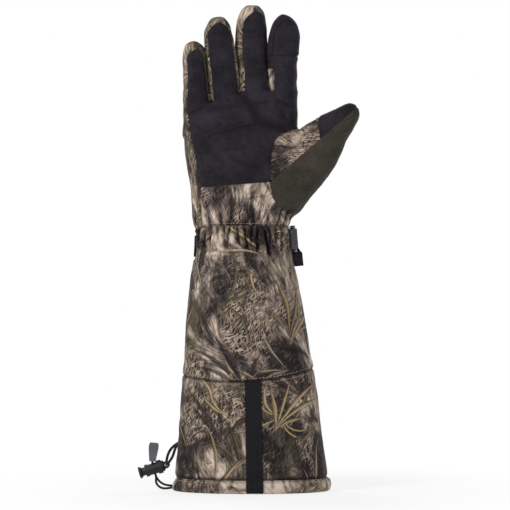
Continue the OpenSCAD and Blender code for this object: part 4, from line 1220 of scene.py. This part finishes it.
def thumb_loft(out):
    """The thumb, from its hole in the hand through a soft bend to its tip."""
    loop_z = np.concatenate((HOLE_ROWS[::-1], HOLE_ROWS[:1], HOLE_ROWS, HOLE_ROWS[-1:]))
    right = seam_turn(HOLE_ROWS, 2)
    back = thumb_back_turn(HOLE_ROWS)
    loop_turn = np.concatenate((right[::-1], (right[:1] + back[:1]) / 2, back, (right[-1:] + back[-1:]) / 2))
    loop = hand_spot(loop_z, loop_turn, out * 0.6)
    spans = len(loop)
    loop = np.concatenate((loop, loop[:1]))
    q = np.linspace(0, spans, 4 * spans, endpoint=False)
    start = np.stack([np.interp(q, np.arange(spans + 1), column) for column in loop.T], axis=-1)
    m = (q - 5) % spans
    turn = np.radians(np.where(m <= 10, 90 + 18 * m, 270 + 15 * (m - 10)))
    cut = TIP_FROM + TIP_SLANT * np.maximum(0, np.cos(turn))
    bow, end = thumb_spot(np.full(q.shape, BOW_AT), turn, out), thumb_spot(cut, turn, out)
    inside = start.mean(0) + 0.55 * (start - start.mean(0)) + np.array((-14, 6, 0))
    rings = [inside]
    for w in np.linspace(0, 1, 12):
        rings.append(start * (1 - w) ** 2 + bow * 2 * w * (1 - w) + end * w * w)
    for share in np.linspace(0, 1, 24)[1:]:
        s = cut + (THUMB_LENGTH - cut) * (1 - (1 - share) ** 1.5)
        rings.append(thumb_spot(s + out * np.clip((s - 78) / 18, 0, 1), turn, out))
    return closed_loft(rings)


def near_mean(triangles, values, count):
    """Mean of the values at the neighbours of every vertex."""
    a = triangles.reshape(-1)
    b = triangles[:, (1, 2, 0)].reshape(-1)
    both, other = np.concatenate((a, b)), np.concatenate((b, a))
    total = np.stack([np.bincount(both, values[other, k], count) for k in range(values.shape[1])], axis=-1)
    return total / np.bincount(both, minlength=count)[:, None]


def one_form(lofts, cell, rounds):
    """Joins overlapping lofts into one smooth closed form."""
    points, faces, count = [], [], 0
    for loft_points, loft_faces in lofts:
        points.append(loft_points)
        faces.append(loft_faces + count)
        count += len(loft_points)
    rough = bpy.data.meshes.new("rough_form")
    rough.from_pydata(np.concatenate(points).tolist(), [], np.concatenate(faces).tolist())
    holder = bpy.data.objects.new("rough_form", rough)
    scene.collection.objects.link(holder)
    union = holder.modifiers.new("one_form", "REMESH")
    union.mode = "VOXEL"
    union.voxel_size = cell
    bpy.context.view_layer.update()
    made = bpy.data.meshes.new_from_object(holder.evaluated_get(bpy.context.evaluated_depsgraph_get()))
    made.calc_loop_triangles()
    spots = np.empty(len(made.vertices) * 3)
    made.vertices.foreach_get("co", spots)
    triangles = np.empty(len(made.loop_triangles) * 3, np.int32)
    made.loop_triangles.foreach_get("vertices", triangles)
    bpy.data.objects.remove(holder)
    bpy.data.meshes.remove(rough)
    bpy.data.meshes.remove(made)
    spots, triangles = spots.reshape(-1, 3), triangles.reshape(-1, 3).astype(int)
    for _ in range(rounds):
        for pull in (0.5, -0.52):
            spots = spots + pull * (near_mean(triangles, spots, len(spots)) - spots)
    return spots, triangles


def finger_nearness(points):
    """How far every point is from each finger's surface, in its own girths, with the fingers held apart."""
    rows = []
    for finger in FINGERS.values():
        s = points[:, 2] - finger.foot
        mid = finger.middle(s)
        x = (points[:, 0] - mid[:, 0] - finger.apart(points[:, 2])) / finger.girth(s)
        rows.append(np.maximum(0, np.hypot(x, (points[:, 1] - mid[:, 1]) / finger.deep) - 1))
    return np.array(rows)


def glove_form(out, cell, rounds):
    """The whole hand as one form. The fingers are held apart while it is made, then let together again."""
    lofts = [hand_loft(out), thumb_loft(out)] + [finger_loft(finger, out) for finger in FINGERS.values()]
    points, triangles = one_form(lofts, cell, rounds)
    root = hump(thumb_field(points), 9) * (points[:, 0] > 5)
    for _ in range(18):
        points = points + (0.5 * root)[:, None] * (near_mean(triangles, points, len(points)) - points)
    weight = 1 / (finger_nearness(points) + 0.05) ** 2
    apart = np.array([finger.apart(points[:, 2]) for finger in FINGERS.values()])
    points[:, 0] -= (weight * apart).sum(0) / weight.sum(0)
    return points, triangles


def hand_turn(points):
    """Turn of points round the hand, from -pi to pi, with the palm below nought."""
    middle, wide, deep = row_at(HAND_FINE, points[:, 2], 1, 2, 3)
    power = hand_curve(points[:, 2]) / 2
    return np.arctan2(bent(points[:, 1] / deep, power), bent((points[:, 0] - middle) / wide, power))


def thumb_field(points):
    """Above nought on the thumb: inside its hole in the hand, or beyond the hand's side."""
    z = points[:, 2]
    turn = hand_turn(points)
    inside = np.minimum(turn - seam_turn(z, 2), thumb_back_turn(z) - turn) * ROUND_HAND
    inside = np.minimum(inside, np.minimum(z - HOLE_LOW, HOLE_TOP - z) + 3)
    beyond = np.minimum(points[:, 0] - HAND_SIDE_X, (points - THUMB_A) @ THUMB_WAY - THUMB_ROOT)
    return np.maximum(inside, beyond)


def palm_field(points):
    """Above nought on the palm side, between its left and right seams, in millimetres."""
    z = points[:, 2]
    turn = hand_turn(points)
    on_back = -np.minimum(turn, math.pi - turn) - 0.02
    on_palm = np.minimum(turn - seam_turn(z, 1), seam_turn(z, 2) - turn)
    return np.where(turn > 0, on_back, on_palm) * ROUND_HAND


def low_field(points):
    """Above nought over the lower edge of the black palm."""
    return points[:, 2] - np.interp(points[:, 0], PALM_EDGE_X, PALM_EDGE_Z)


def thumb_along(points):
    """Distance along the thumb, and across it towards its pad and towards its side."""
    off = points - THUMB_A
    return off @ THUMB_WAY, off @ THUMB_U, off @ THUMB_V


def thumb_tip_field(points):
    """Above nought past the slanted lower edge of the thumb's tip patch."""
    s, u, v = thumb_along(points)
    reach = np.hypot(u, v) + 1e-6
    return s - TIP_FROM - TIP_SLANT * np.maximum(0, u / reach)


def finger_turn(finger, points):
    """Turn round a finger from -90 to 270 degrees as radians, and the distance over its foot."""
    s = points[:, 2] - finger.foot
    mid = finger.middle(s)
    turn = np.arctan2((points[:, 1] - mid[:, 1]) / finger.deep, (points[:, 0] - mid[:, 0]) / finger.girth(s))
    return np.where(turn < -math.pi / 2, turn + 2 * math.pi, turn), s


def arch_field(finger, points, first, last, top, round_part):
    """Above nought inside a strip up the front of a finger with a rounded top."""
    turn, s = finger_turn(finger, points)
    middle = (first + last) / 2
    across = ((turn - middle + math.pi) % (2 * math.pi) - math.pi) * finger.wide
    half = (last - first) / 2 * finger.wide
    over = np.maximum(0, s - (top - half * round_part)) / round_part
    return half - np.hypot(across, over)


def finger_front_field(finger, points):
    """Above nought on the black front of a finger."""
    return arch_field(finger, points, *finger.black, finger.length - finger.arch * finger.wide, 0.75)


CAP_Z = 415.7
STRIP_TOP = 404.0
# a top that no finger reaches
NO_TOP = 400.0


def index_front_field(points):
    """The black front of the index finger, which goes right round to its inner side over the print strip."""
    finger = FINGERS["index"]
    inner = arch_field(finger, points, math.radians(176), math.radians(290), NO_TOP, 1)
    front = arch_field(finger, points, *finger.black, NO_TOP, 1)
    return np.maximum(front, np.minimum(inner, points[:, 2] - STRIP_TOP))


def index_pad_field(points):
    """The arched pad on the front of the index finger's cap."""
    finger = FINGERS["index"]
    return arch_field(finger, points, math.radians(231), math.radians(338), finger.length - 7.6, 0.9)


# two ends of a crease in the palm as x and height, its depth and width
CREASES = (
    ((-51.8, 321.6), (-14.4, 326.4), 0.7, 1.3), ((-41.3, 338.9), (0, 349.4), 1.2, 1.2),
    ((-30, 346), (-8, 352), 0.8, 1.0), ((-59.7, 361), (-40.3, 369.1), 1.0, 1.8),
    ((-42.5, 363.5), (13.7, 371.9), 1.0, 2.2), ((-9.6, 378.2), (6.7, 354.2), 1.5, 4.2),
    ((6.7, 354.2), (29.8, 344.6), 1.5, 4.2), ((26.4, 363.4), (36.5, 348.5), 0.9, 1.3),
    ((-20, 318), (8, 306), 0.9, 3.4), ((-45, 330), (-28, 312), 0.8, 3.4), ((24, 372), (40, 366), 0.8, 1.6),
    ((-36, 300), (-20, 296), 0.7, 1.8))
# places along a finger where it creases, as shares of its length, and how each crease tilts
KNUCKLE_CREASES = ((0.30, 0.06), (0.35, -0.05), (0.62, 0.05), (0.67, -0.06))


def groove(field, depth, width):
    """A sewn seam along a field's nought line: a narrow groove between two low swells."""
    return -depth * hump(field, width) + 0.45 * depth * hump(np.abs(field) - 2.6 * width, 1.6 * width)


def hand_relief(points):
    """Height of seams, creases, gathers and folds over the plain form, and how far it is sunk in them."""
    x, y, z = points.T
    turn = hand_turn(points)
    front = np.clip(-turn / 0.4, 0, 1)
    on_finger = np.clip((z - crotch(x)) / 4, 0, 1)
    thumb = thumb_field(points)
    on_thumb = np.clip(thumb / 3, 0, 1)
    on_hand = (1 - on_finger) * (1 - on_thumb)
    up_folds = folds(round_wrist(turn), 2 * GATHER_HIGH - z, WRIST_SPAN, hand_folds)
    relief = np.clip(up_folds, -2.4, 1.6) * (1 - on_finger) - 1.1 * hump(z - wrist_seam(turn), 2.2)
    palm = palm_field(points)
    relief += on_hand * (1 - np.clip((thumb + 6) / 4, 0, 1)) * groove(palm, 0.6, 0.9)
    relief += on_hand * front * (palm > -1) * groove(low_field(points), 0.7, 0.9)
    creased = np.zeros(len(points))
    for (x0, z0), (x1, z1), depth, width in CREASES:
        run = np.array((x1 - x0, z1 - z0))
        share = np.clip(((x - x0) * run[0] + (z - z0) * run[1]) / (run @ run), 0, 1)
        far = np.hypot(x - x0 - share * run[0], z - z0 - share * run[1])
        creased = np.maximum(creased, depth * hump(far, width))
    relief -= front * on_hand * creased
    pad_side = thumb_along(points)[1]
    relief += on_thumb * groove(-pad_side, 0.5, 0.8)
    heel = hump(np.hypot((x - 44) / 13, (z - 271) / 9.5), 1)
    relief += 2.2 * heel * on_thumb * np.clip(-pad_side / 6, 0, 1)
    relief += on_thumb * (pad_side > 0) * groove(thumb_tip_field(points), 0.5, 0.8)
    relief += (1 - on_finger) * groove(thumb, 0.5, 0.9) * (x > 5)
    for finger in FINGERS.values():
        mid = finger.middle(z - finger.foot)
        mine = on_finger * (np.abs(x - mid[:, 0]) < finger.wide * 1.05)
        turn_here, s = finger_turn(finger, points)
        if finger is FINGERS["index"]:
            on_cap = groove(index_pad_field(points), 1.0, 1.0)
            below = groove(index_front_field(points), 0.6, 1.0)
            relief += mine * (groove(z - CAP_Z, 0.7, 1.0) + np.where(z > CAP_Z, on_cap, below * (z < CAP_Z)))
        else:
            relief += mine * groove(finger_front_field(finger, points), 0.6, 1.0)
        facing = np.clip(-np.sin(turn_here), 0, 1)
        for joint, tilt in KNUCKLE_CREASES:
            bend = s - finger.length * joint - tilt * (x - mid[:, 0])
            relief -= mine * facing * 0.55 * hump(bend, 1.5)
    soft = 0.55 * wave_field(points * (1, 1, 0.6), 30, 61) * on_hand + 0.3 * wave_field(points, 11, 62)
    return np.maximum(relief + soft, -1.9), np.clip(-relief * 0.75, 0, 1)


hand_folds = gather_rows(17, 34, WRIST_SPAN, GATHER_HIGH, (8, 24), (1.0, 2.6), (1.1, 2.0), 0.34)
form_points, form_triangles = glove_form(0.0, 1.2, 10)
form_normals = vertex_normals(form_points, form_triangles)
form_relief, form_sunk = hand_relief(form_points)
form_points = form_points + form_normals * form_relief[:, None]
form_normals = vertex_normals(form_points, form_triangles)


def imprint(cloth, triangles, column):
    """Adds vertices where a field is nought, so that no triangle crosses that line."""
    f = cloth[:, column]
    side = (f > 0)[triangles]
    crossing = side.any(1) & ~side.all(1)
    keep, t, s = triangles[~crossing], triangles[crossing], side[crossing]
    if not len(t):
        return cloth, triangles
    lone = np.where((s.sum(1) == 1)[:, None], s, ~s).argmax(1)
    rows = np.arange(len(t))
    a, b, c = t[rows, lone], t[rows, (lone + 1) % 3], t[rows, (lone + 2) % 3]
    pairs = np.sort(np.concatenate((np.stack((a, b), axis=1), np.stack((a, c), axis=1))), axis=1)
    unique, inverse = np.unique(pairs, axis=0, return_inverse=True)
    inverse = inverse.reshape(-1)
    w = (f[unique[:, 0]] / (f[unique[:, 0]] - f[unique[:, 1]]))[:, None]
    fresh = cloth[unique[:, 0]] * (1 - w) + cloth[unique[:, 1]] * w
    fresh[:, column] = 0
    ab = len(cloth) + inverse[:len(t)]
    ac = len(cloth) + inverse[len(t):]
    new = np.concatenate([np.stack(corners, axis=1) for corners in ((a, ab, ac), (ab, b, c), (ab, c, ac))])
    return np.concatenate((cloth, fresh)), np.concatenate((keep, new))


def part_by(cloth, triangles, field):
    """Cuts a cloth along a field's nought line. Gives the cloth, the triangles above and those below."""
    cloth = np.concatenate((cloth, field(cloth[:, :3])[:, None]), axis=1)
    cloth, triangles = imprint(cloth, triangles, -1)
    above = cloth[triangles, -1].mean(1) > 0
    return cloth[:, :-1], triangles[above], triangles[~above]


def wrist_cut(points):
    """Above nought over the seam between the hand and the gathers."""
    return points[:, 2] - wrist_seam(hand_turn(points)) + 0.3


def crotch_cut(points):
    """Above nought on the fingers."""
    return points[:, 2] - crotch(points[:, 0])


def finger_parts(cloth, triangles):
    """Shares out what lies over the crotch line to the four fingers."""
    order = ("index", "middle", "ring", "little")
    parts = {}
    for left, name in zip(order[1:], order[:-1]):
        one, two = FINGERS[name], FINGERS[left]

        def between(points):
            z = points[:, 2]
            middle = (one.middle(z - one.foot)[:, 0] + two.middle(z - two.foot)[:, 0]) / 2
            return points[:, 0] - middle + 10 * np.clip(z - two.rows[-1, 0] - 3, 0, 2)

        cloth, parts[name], triangles = part_by(cloth, triangles, between)
    parts["little"] = triangles
    return cloth, parts


def back_uv(points):
    """Cloth coordinates round the back of the hand, and height."""
    turn = (hand_turn(points) + math.pi / 2) % (2 * math.pi) - math.pi
    return np.stack((turn * 46, points[:, 2]), axis=-1)


def face_uv(points):
    """Cloth coordinates of a panel that faces the palm side."""
    return points[:, (0, 2)]


def finger_uv(finger):
    """Gives a function for cloth coordinates round a finger, and height."""
    def uv(points):
        turn, _ = finger_turn(finger, points)
        return np.stack(((turn - math.pi / 2) * finger.wide - finger.base, points[:, 2]), axis=-1)
    return uv


def thumb_uv(points):
    """Cloth coordinates round the thumb and along it."""
    s, u, v = thumb_along(points)
    return np.stack((np.arctan2(v, u) * 17, s), axis=-1)


def panel(name, cloth, triangles, uv, material, slot, *replaced, thick=HAND_CLOTH, proud=0.0):
    """A sewn panel of the cut form. A row of cloth is a point, its normal and how sunk it is."""
    points, normals, sunk = cloth[:, :3], cloth[:, 3:6], cloth[:, 6]
    made = cloth_piece(name + "_cloth", points + proud * normals, normals, uv(points), triangles, thick,
                       material, sunk)
    return dress(made, slot, *replaced)


def suede_panel(name, cloth, triangles, *replaced, proud=0.0):
    """A panel of the black suede."""
    return panel(name, cloth, triangles, face_uv, black_suede, "black_suede", *replaced, proud=proud)


def suede(name, dark, light):
    """Synthetic suede: very short even nap, slightly lighter where it is rubbed."""
    material, shader, dye = new_material(name, {"Sheen Weight": 0.04, "Sheen Roughness": 0.5,
                                                "Specular IOR Level": 0.12})
    place = dye.place()
    nap = dye.noise(place, 1300, 3, 0.6)
    rub = dye.noise(place, 42, 4, 0.6)
    brush = dye.noise(place, 260, 3, 0.55)
    tone = (rub * 0.6 + brush * 0.25 + nap * 0.35).step(0.38, 0.82)
    colour = painted_fold_shade(dye, dye.over(tone, dark, light), 0.75)
    finish_material(dye, shader, colour, 0.82, nap + brush * 0.6, 0.35, 0.0006)
    return material


black_suede = suede("black_suede", tint(16, 14, 18), tint(45, 41, 49))
olive_fleece = brushed_cloth("olive_fleece", tint(34, 31, 26), tint(68, 63, 54), 1.2)
back_print = reed_print("back_print", (150.0, 720.0))
wrist_print = reed_print("wrist_print", (610.0, 480.0), -0.02)
thumb_print = reed_print("thumb_print", (260.0, 40.0), -0.19)
finger_print = reed_print("finger_print", (905.0, 610.0))

cloth = np.concatenate((form_points, form_normals, form_sunk[:, None]), axis=1)
cloth, triangles, _ = part_by(cloth, form_triangles, wrist_cut)
cloth, over_crotch, hand_part = part_by(cloth, triangles, crotch_cut)
hand_cloth, thumb_part, hand_part = part_by(cloth, hand_part, thumb_field)
thumb_cloth, olive_part, pad_part = part_by(hand_cloth, thumb_part, lambda points: -thumb_along(points)[1])
thumb_cloth, tip_part, base_part = part_by(thumb_cloth, pad_part, thumb_tip_field)
palm_cloth, palm_part, back_part = part_by(hand_cloth, hand_part, palm_field)
low_cloth, palm_part, low_part = part_by(palm_cloth, palm_part, low_field)

back = panel("back_panel", palm_cloth, back_part, back_uv, back_print, "printed_shell", "back_panel",
             "finger_webs")
palm = suede_panel("palm_panel", low_cloth, palm_part, "palm_panel", proud=0.25)
low = panel("wrist_panel", low_cloth, low_part, face_uv, wrist_print, "printed_shell", "wrist_panel")
for piece in (back, palm, low):
    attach(piece, "hand")

THUMB_BEND = (30, 58)
THUMB_START, THUMB_END = (tuple(placed(THUMB_A + THUMB_WAY * s)) for s in THUMB_BEND)
thumb_pieces = (
    panel("thumb_panel", thumb_cloth, base_part, thumb_uv, thumb_print, "printed_shell", "thumb_panel"),
    panel("thumb_wipe_panel", thumb_cloth, olive_part, thumb_uv, olive_fleece, "olive_fleece",
          "thumb_base_wipe", "thumb_wipe_panel", thick=FLEECE_CLOTH),
    panel("thumb_tip_patch", thumb_cloth, tip_part, thumb_uv, black_suede, "black_suede", "thumb_tip_patch"))
for piece in thumb_pieces:
    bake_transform(piece)

KNUCKLE = 25.0


def bend_knuckle(piece, name):
    """Bakes the placing of a piece of a finger into its mesh."""
    finger = FINGERS[name]
    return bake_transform(piece, "hand", name, tuple(placed(finger.middle(0.0))),
                    tuple(placed(finger.middle(KNUCKLE))))


finger_cloth, finger_part = finger_parts(cloth, over_crotch)
for name, finger in FINGERS.items():
    own_cloth, own_part = finger_cloth, finger_part[name]
    made = []
    if name == "index":
        own_cloth, cap_part, own_part = part_by(own_cloth, own_part, lambda points: points[:, 2] - CAP_Z)
        cap_cloth, pad_part, cap_part = part_by(own_cloth, cap_part, index_pad_field)
        made.append(suede_panel("index_tip_cap", cap_cloth, cap_part, "index_tip_cap"))
        made.append(suede_panel("index_tip_pad", cap_cloth, pad_part, "index_tip_pad", proud=0.45))
        own_cloth, front_part, back_part = part_by(own_cloth, own_part, index_front_field)
    else:
        own_cloth, front_part, back_part = part_by(own_cloth, own_part,
                                                   lambda points: finger_front_field(finger, points))
    made.append(suede_panel(name + "_front", own_cloth, front_part, name + "_knuckle_front", name + "_front"))
    made.append(panel(name + "_back", own_cloth, back_part, finger_uv(finger), finger_print, "printed_shell",
                      name + "_knuckle_back", name + "_back"))
    for piece in made:
        bend_knuckle(piece, name)

# Lining of the hand
# A quilted insulated lining follows the shell inside, as a palm half, a back half and a sleeve for each
# finger and the thumb. It hangs a little slack in the shell.
LINING_THICK = 2.4
inner_points, inner_triangles = glove_form(-2.6, 2.2, 6)
inner_normals = vertex_normals(inner_points, inner_triangles)
inner = np.concatenate((inner_points, inner_normals, 0 * inner_points[:, :1]), axis=1)
inner, inner_part, _ = part_by(inner, inner_triangles, wrist_cut)
inner, inner_fingers, inner_hand = part_by(inner, inner_part, crotch_cut)
inner_hand_cloth, inner_thumb, inner_hand = part_by(inner, inner_hand, thumb_field)
inner_palm_cloth, inner_palm, inner_back = part_by(inner_hand_cloth, inner_hand, palm_field)


def lining_part(name, cloth, triangles):
    """A padded part of the lining."""
    made = panel(name, cloth, triangles, face_uv, lining_pile, "lining", name, thick=LINING_THICK)
    return made


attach(lining_part("hand_lining_palm", inner_palm_cloth, inner_palm), "hand")
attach(lining_part("hand_lining_back", inner_palm_cloth, inner_back), "hand")
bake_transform(lining_part("thumb_lining", inner_hand_cloth, inner_thumb))
inner_cloth, inner_finger = finger_parts(inner, inner_fingers)
for name, triangles in inner_finger.items():
    bend_knuckle(lining_part(name + "_lining", inner_cloth, triangles), name)

# Seam stitching
# Every seam is sewn with polyester thread: a sand thread on the printed cloth and a black one on the
# suede and the tape. Each stitch lies a little proud of the cloth.
STITCH_PITCH, STITCH_LENGTH, THREAD_R = 3.4, 2.5, 0.32
# how far each row is sewn from its seam, and the height of the row in the hem
SEAM_SEWN, WRIST_SEWN, LOW_SEWN, SIDE_SEWN = 2.3, 1.9, 2.0, 2.2
HEM_SEWN = 10.4


def stitch_tree():
    """Lays one short round stitch after another along the paths that it is given."""
    tree = bpy.data.node_groups.new("stitches", "GeometryNodeTree")
    sockets = {}
    for label, kind in (("Paths", "Geometry"), ("Pitch", "Float"), ("Length", "Float"),
                        ("Thread Radius", "Float"), ("Thread", "Material")):
        made = tree.interface.new_socket(label, in_out="INPUT", socket_type="NodeSocket" + kind)
        sockets[label] = made.identifier
    tree.interface.new_socket("Stitches", in_out="OUTPUT", socket_type="NodeSocketGeometry")
    dye = Dye(tree)
    given = tree.nodes.new("NodeGroupInput")

    def given_value(label):
        return Dye(tree, given.outputs[label])

    curve = dye.node("GeometryNodeMeshToCurve", None, {0: given_value("Paths")})
    spots = dye.node("GeometryNodeCurveToPoints", {"mode": "LENGTH"},
                     {"Curve": curve, "Length": given_value("Pitch")})
    along = dye.node("FunctionNodeAlignRotationToVector", {"axis": "Z"}, {"Vector": spots.also("Tangent")})
    bead = dye.node("GeometryNodeMeshUVSphere", None, {"Segments": 6, "Rings": 4, "Radius": 1.0})
    size = dye.point(given_value("Thread Radius"), given_value("Thread Radius"), given_value("Length") * 0.5)
    row = dye.node("GeometryNodeInstanceOnPoints", None,
                   {"Points": spots, "Instance": bead, "Rotation": along, "Scale": size})
    real = dye.node("GeometryNodeRealizeInstances", None, {0: row})
    soft = dye.node("GeometryNodeSetShadeSmooth", None, {0: real})
    sewn = dye.node("GeometryNodeSetMaterial", None, {"Geometry": soft, "Material": given_value("Thread")})
    end = tree.nodes.new("NodeGroupOutput")
    tree.links.new(sewn.socket, end.inputs[0])
    return tree, sockets


stitching, stitch_sockets = stitch_tree()


def sewn_thread(name, dark, light):
    """Twisted polyester thread."""
    material, shader, dye = new_material(name, {"Specular IOR Level": 0.2})
    ply = dye.noise(dye.place(), 1800, 2, 0.6)
    finish_material(dye, shader, dye.over(ply.step(0.3, 0.7), dark, light), 0.7, ply, 0.4, 0.0002)
    return material


def stitch_rows(name, paths, thread, body):
    """One piece of stitching along several paths in millimetres."""
    points = np.concatenate(paths)
    starts = np.cumsum([0] + [len(path) for path in paths])
    edges = [(k, k + 1) for k in range(len(points) - 1) if k + 1 not in starts]
    lines = bpy.data.meshes.new(name)
    lines.from_pydata(placed(points).tolist(), edges, [])
    made = bpy.data.objects.new(name, lines)
    scene.collection.objects.link(made)
    sew = made.modifiers.new("sew", "NODES")
    sew.node_group = stitching
    for label, value in (("Pitch", STITCH_PITCH * MM), ("Length", STITCH_LENGTH * MM),
                         ("Thread Radius", THREAD_R * MM), ("Thread", thread)):
        sew[stitch_sockets[label]] = value
    bpy.context.view_layer.update()
    plain = bpy.data.meshes.new_from_object(made.evaluated_get(bpy.context.evaluated_depsgraph_get()))
    made.modifiers.remove(sew)
    made.data = plain
    plain.name = name
    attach(made, body)


def on_gauntlet(turn, z, shape, proud):
    """Points on a finished gauntlet panel."""
    return tube(z, turn, shape(turn, z)[0] + proud)


def on_hand(z, turn, proud=0.1):
    """Points on the finished hand, seams and folds included."""
    spots = hand_spot(z, turn, 0.0)
    return hand_spot(z, turn, hand_relief(spots)[0] + proud)


sand_thread = sewn_thread("sand_thread", tint(122, 110, 97), tint(184, 168, 149))
black_thread = sewn_thread("black_thread", tint(14, 13, 16), tint(44, 42, 47))
around_turn = np.linspace(0, 2 * math.pi, 400)
seam_line = seam_height(around_turn)
hem_row = np.argmin(np.abs(hem_path[:, 1] - HEM_SEWN) + 9 * (hem_path[:, 0] < 0))
hem_ring = np.concatenate((hem_grid[hem_row], hem_grid[hem_row, :1]))
hem_inside = tube(hem_ring[:, 2], np.append(hem_turns, 0), -3)
hem_ring = hem_ring + np.array((0, 0, 0.1)) + 0.14 * (hem_ring - hem_inside) / 5
over_seam = on_gauntlet(around_turn, seam_line + SEAM_SEWN, upper_shape, 0.12)
under_seam = on_gauntlet(around_turn, seam_line - SEAM_SEWN, lower_shape, 0.12)
stitch_rows("gauntlet_stitches", [over_seam, under_seam, hem_ring], sand_thread, "gauntlet")
tape_rows = []
for edge in (-STRIPE_SEWN, STRIPE_SEWN):
    column = np.argmin(np.abs(stripe_share[0] - edge))
    line_z, line_turn, line_low = (grid[:-3, column] for grid in (stripe_z, stripe_turn, stripe_low))
    tape_rows.append(tube(line_z, line_turn, line_low + STRIPE_T))
stitch_rows("stripe_stitches", tape_rows, black_thread, "gauntlet")
wrist_turn = np.linspace(math.radians(192), math.radians(330), 240)
wrist_row = on_hand(wrist_seam(wrist_turn) + WRIST_SEWN, wrist_turn, 0.4)
stitch_rows("wrist_stitches", [wrist_row], sand_thread, "hand")
low_x = np.linspace(-47.5, 14.5, 120)
low_z = np.interp(low_x, PALM_EDGE_X, PALM_EDGE_Z) + LOW_SEWN
side_z = np.linspace(296, 352, 90)
side_x = row_at(HAND_SEAMS, side_z, 1)[0] + SIDE_SEWN
palm_rows = [on_hand(z, palm_turn(x, z)) for x, z in ((low_x, low_z), (side_x, side_z))]
stitch_rows("palm_stitches", palm_rows, black_thread, "hand")

# Draw cord and tether
# Both ends of the hem's elastic cord come out on the left, pass through a sprung lock and end in a grey
# moulded grip. A thin loop from the side seam keeps the lock from being lost.
STRAND_Y = 1.5
LOCK_MID = np.array((-95.4, 0.0, 20.6))
LOCK_TILT = math.radians(17)
END_FOOT = np.array((-96.5, 0.0, 27.8))
END_LEAN = math.radians(5)
TETHER_R = 1.3


def lock_spot(y, z, x=0.0):
    """A point of the lock, x along the barrel from the cord slot."""
    c, s = math.cos(LOCK_TILT), math.sin(LOCK_TILT)
    return LOCK_MID + np.array((x * c - z * s, y, x * s + z * c))


def end_spot(y, z):
    """A point of the grip, z along it from its foot."""
    return END_FOOT + np.array((z * math.sin(END_LEAN), y, z * math.cos(END_LEAN)))


def free_cord(name, way, radius, node):
    """A limp elastic cord that moves with the lock, along a way from where it leaves the glove."""
    made = dress(cord_piece(name, way, radius, elastic_braid), "cord", node)
    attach(made, "cord_lock")


strand_ways = {
    "draw_cord_a": ((-91, 1.5, 9.5), (-88, 1.6, 6.8), (-84, 1.7, 4.9), (-77.2, 1.8, 4), (-75.2, 1.8, 3.9)),
    "draw_cord_b": ((-93, -1.6, 8), (-91.2, -1.8, 4.6), (-88, -2, 2.4), (-84, -2, 1.8), (-77.2, -1.8, 2.6),
                    (-75.2, -1.8, 2.8))}
strand_sides = {"draw_cord_a": (STRAND_Y, ("cord_end", "cord_lock_barrel")),
                "draw_cord_b": (-STRAND_Y, ("cord_end",))}
for name, low_way in strand_ways.items():
    y, on_cord = strand_sides[name]
    way = [end_spot(y, z) for z in (8, 4, 0)] + [lock_spot(y, z) for z in (4, 0, -4, -8)] + list(low_way)
    free_cord(name, resample(np.array(way)[::-1], 40), CORD_R, "draw_cord")

tether_way = (
    (-71, 1.1, 45.6), (-73.1, 1.2, 44.2), (-75.9, 1.6, 42.2), (-79.2, 2.2, 38.7), (-81.6, 3, 34),
    (-82.9, 3.6, 29.2), (-83.2, 3.2, 25.6), (-83, 1.4, 24.4), (-83, -1.4, 24.4), (-82.4, -3.2, 25.2),
    (-79.7, -3.6, 28.2), (-77, -3, 32.8), (-75.4, -2.2, 37.6), (-74.4, -1.6, 40.4), (-73.1, -1.2, 42.4),
    (-71.4, -1.1, 44))
free_cord("tether_braid", resample(tether_way, 60), TETHER_R, "cord_tether")

# Cord lock and grip
# The barrel and its plunger are moulded in black and the grip in grey. A steel spring in the barrel pushes
# the plunger out, and is pressed together with it.
lock_plastic = moulded("lock_plastic", tint(11, 10, 12), 0.45)
grip_plastic = moulded("grip_plastic", tint(76, 75, 81), 0.6)
repaint("cord_lock_barrel", lock_plastic)
repaint("cord_lock_plunger", lock_plastic)
repaint("cord_end", grip_plastic)
spring_wire, spring_shader, spring_dye = new_material("spring_wire", {"Metallic": 1.0})
drawn = spring_dye.noise(spring_dye.place(), 700, 2, 0.5)
steel = spring_dye.over(drawn, tint(120, 120, 122), tint(190, 190, 192))
finish_material(spring_dye, spring_shader, steel, drawn * 0.3 + 0.2)
SPRING_FROM, SPRING_LONG, SPRING_CURLS = 2.6, 4.4, 4
SPRING_R, WIRE_R = 3.0, 0.3
spring_way = []
for share in np.linspace(0, 1, 24 * SPRING_CURLS + 1):
    turn = 2 * math.pi * SPRING_CURLS * share
    spring_way.append(lock_spot(SPRING_R * math.cos(turn), SPRING_R * math.sin(turn),
                                SPRING_FROM + SPRING_LONG * share))
spring = cord_piece("spring_coil", np.array(spring_way), WIRE_R, spring_wire, 8)
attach(dress(spring, "spring_steel", "cord_lock_spring"), "cord_lock")
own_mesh(spring)
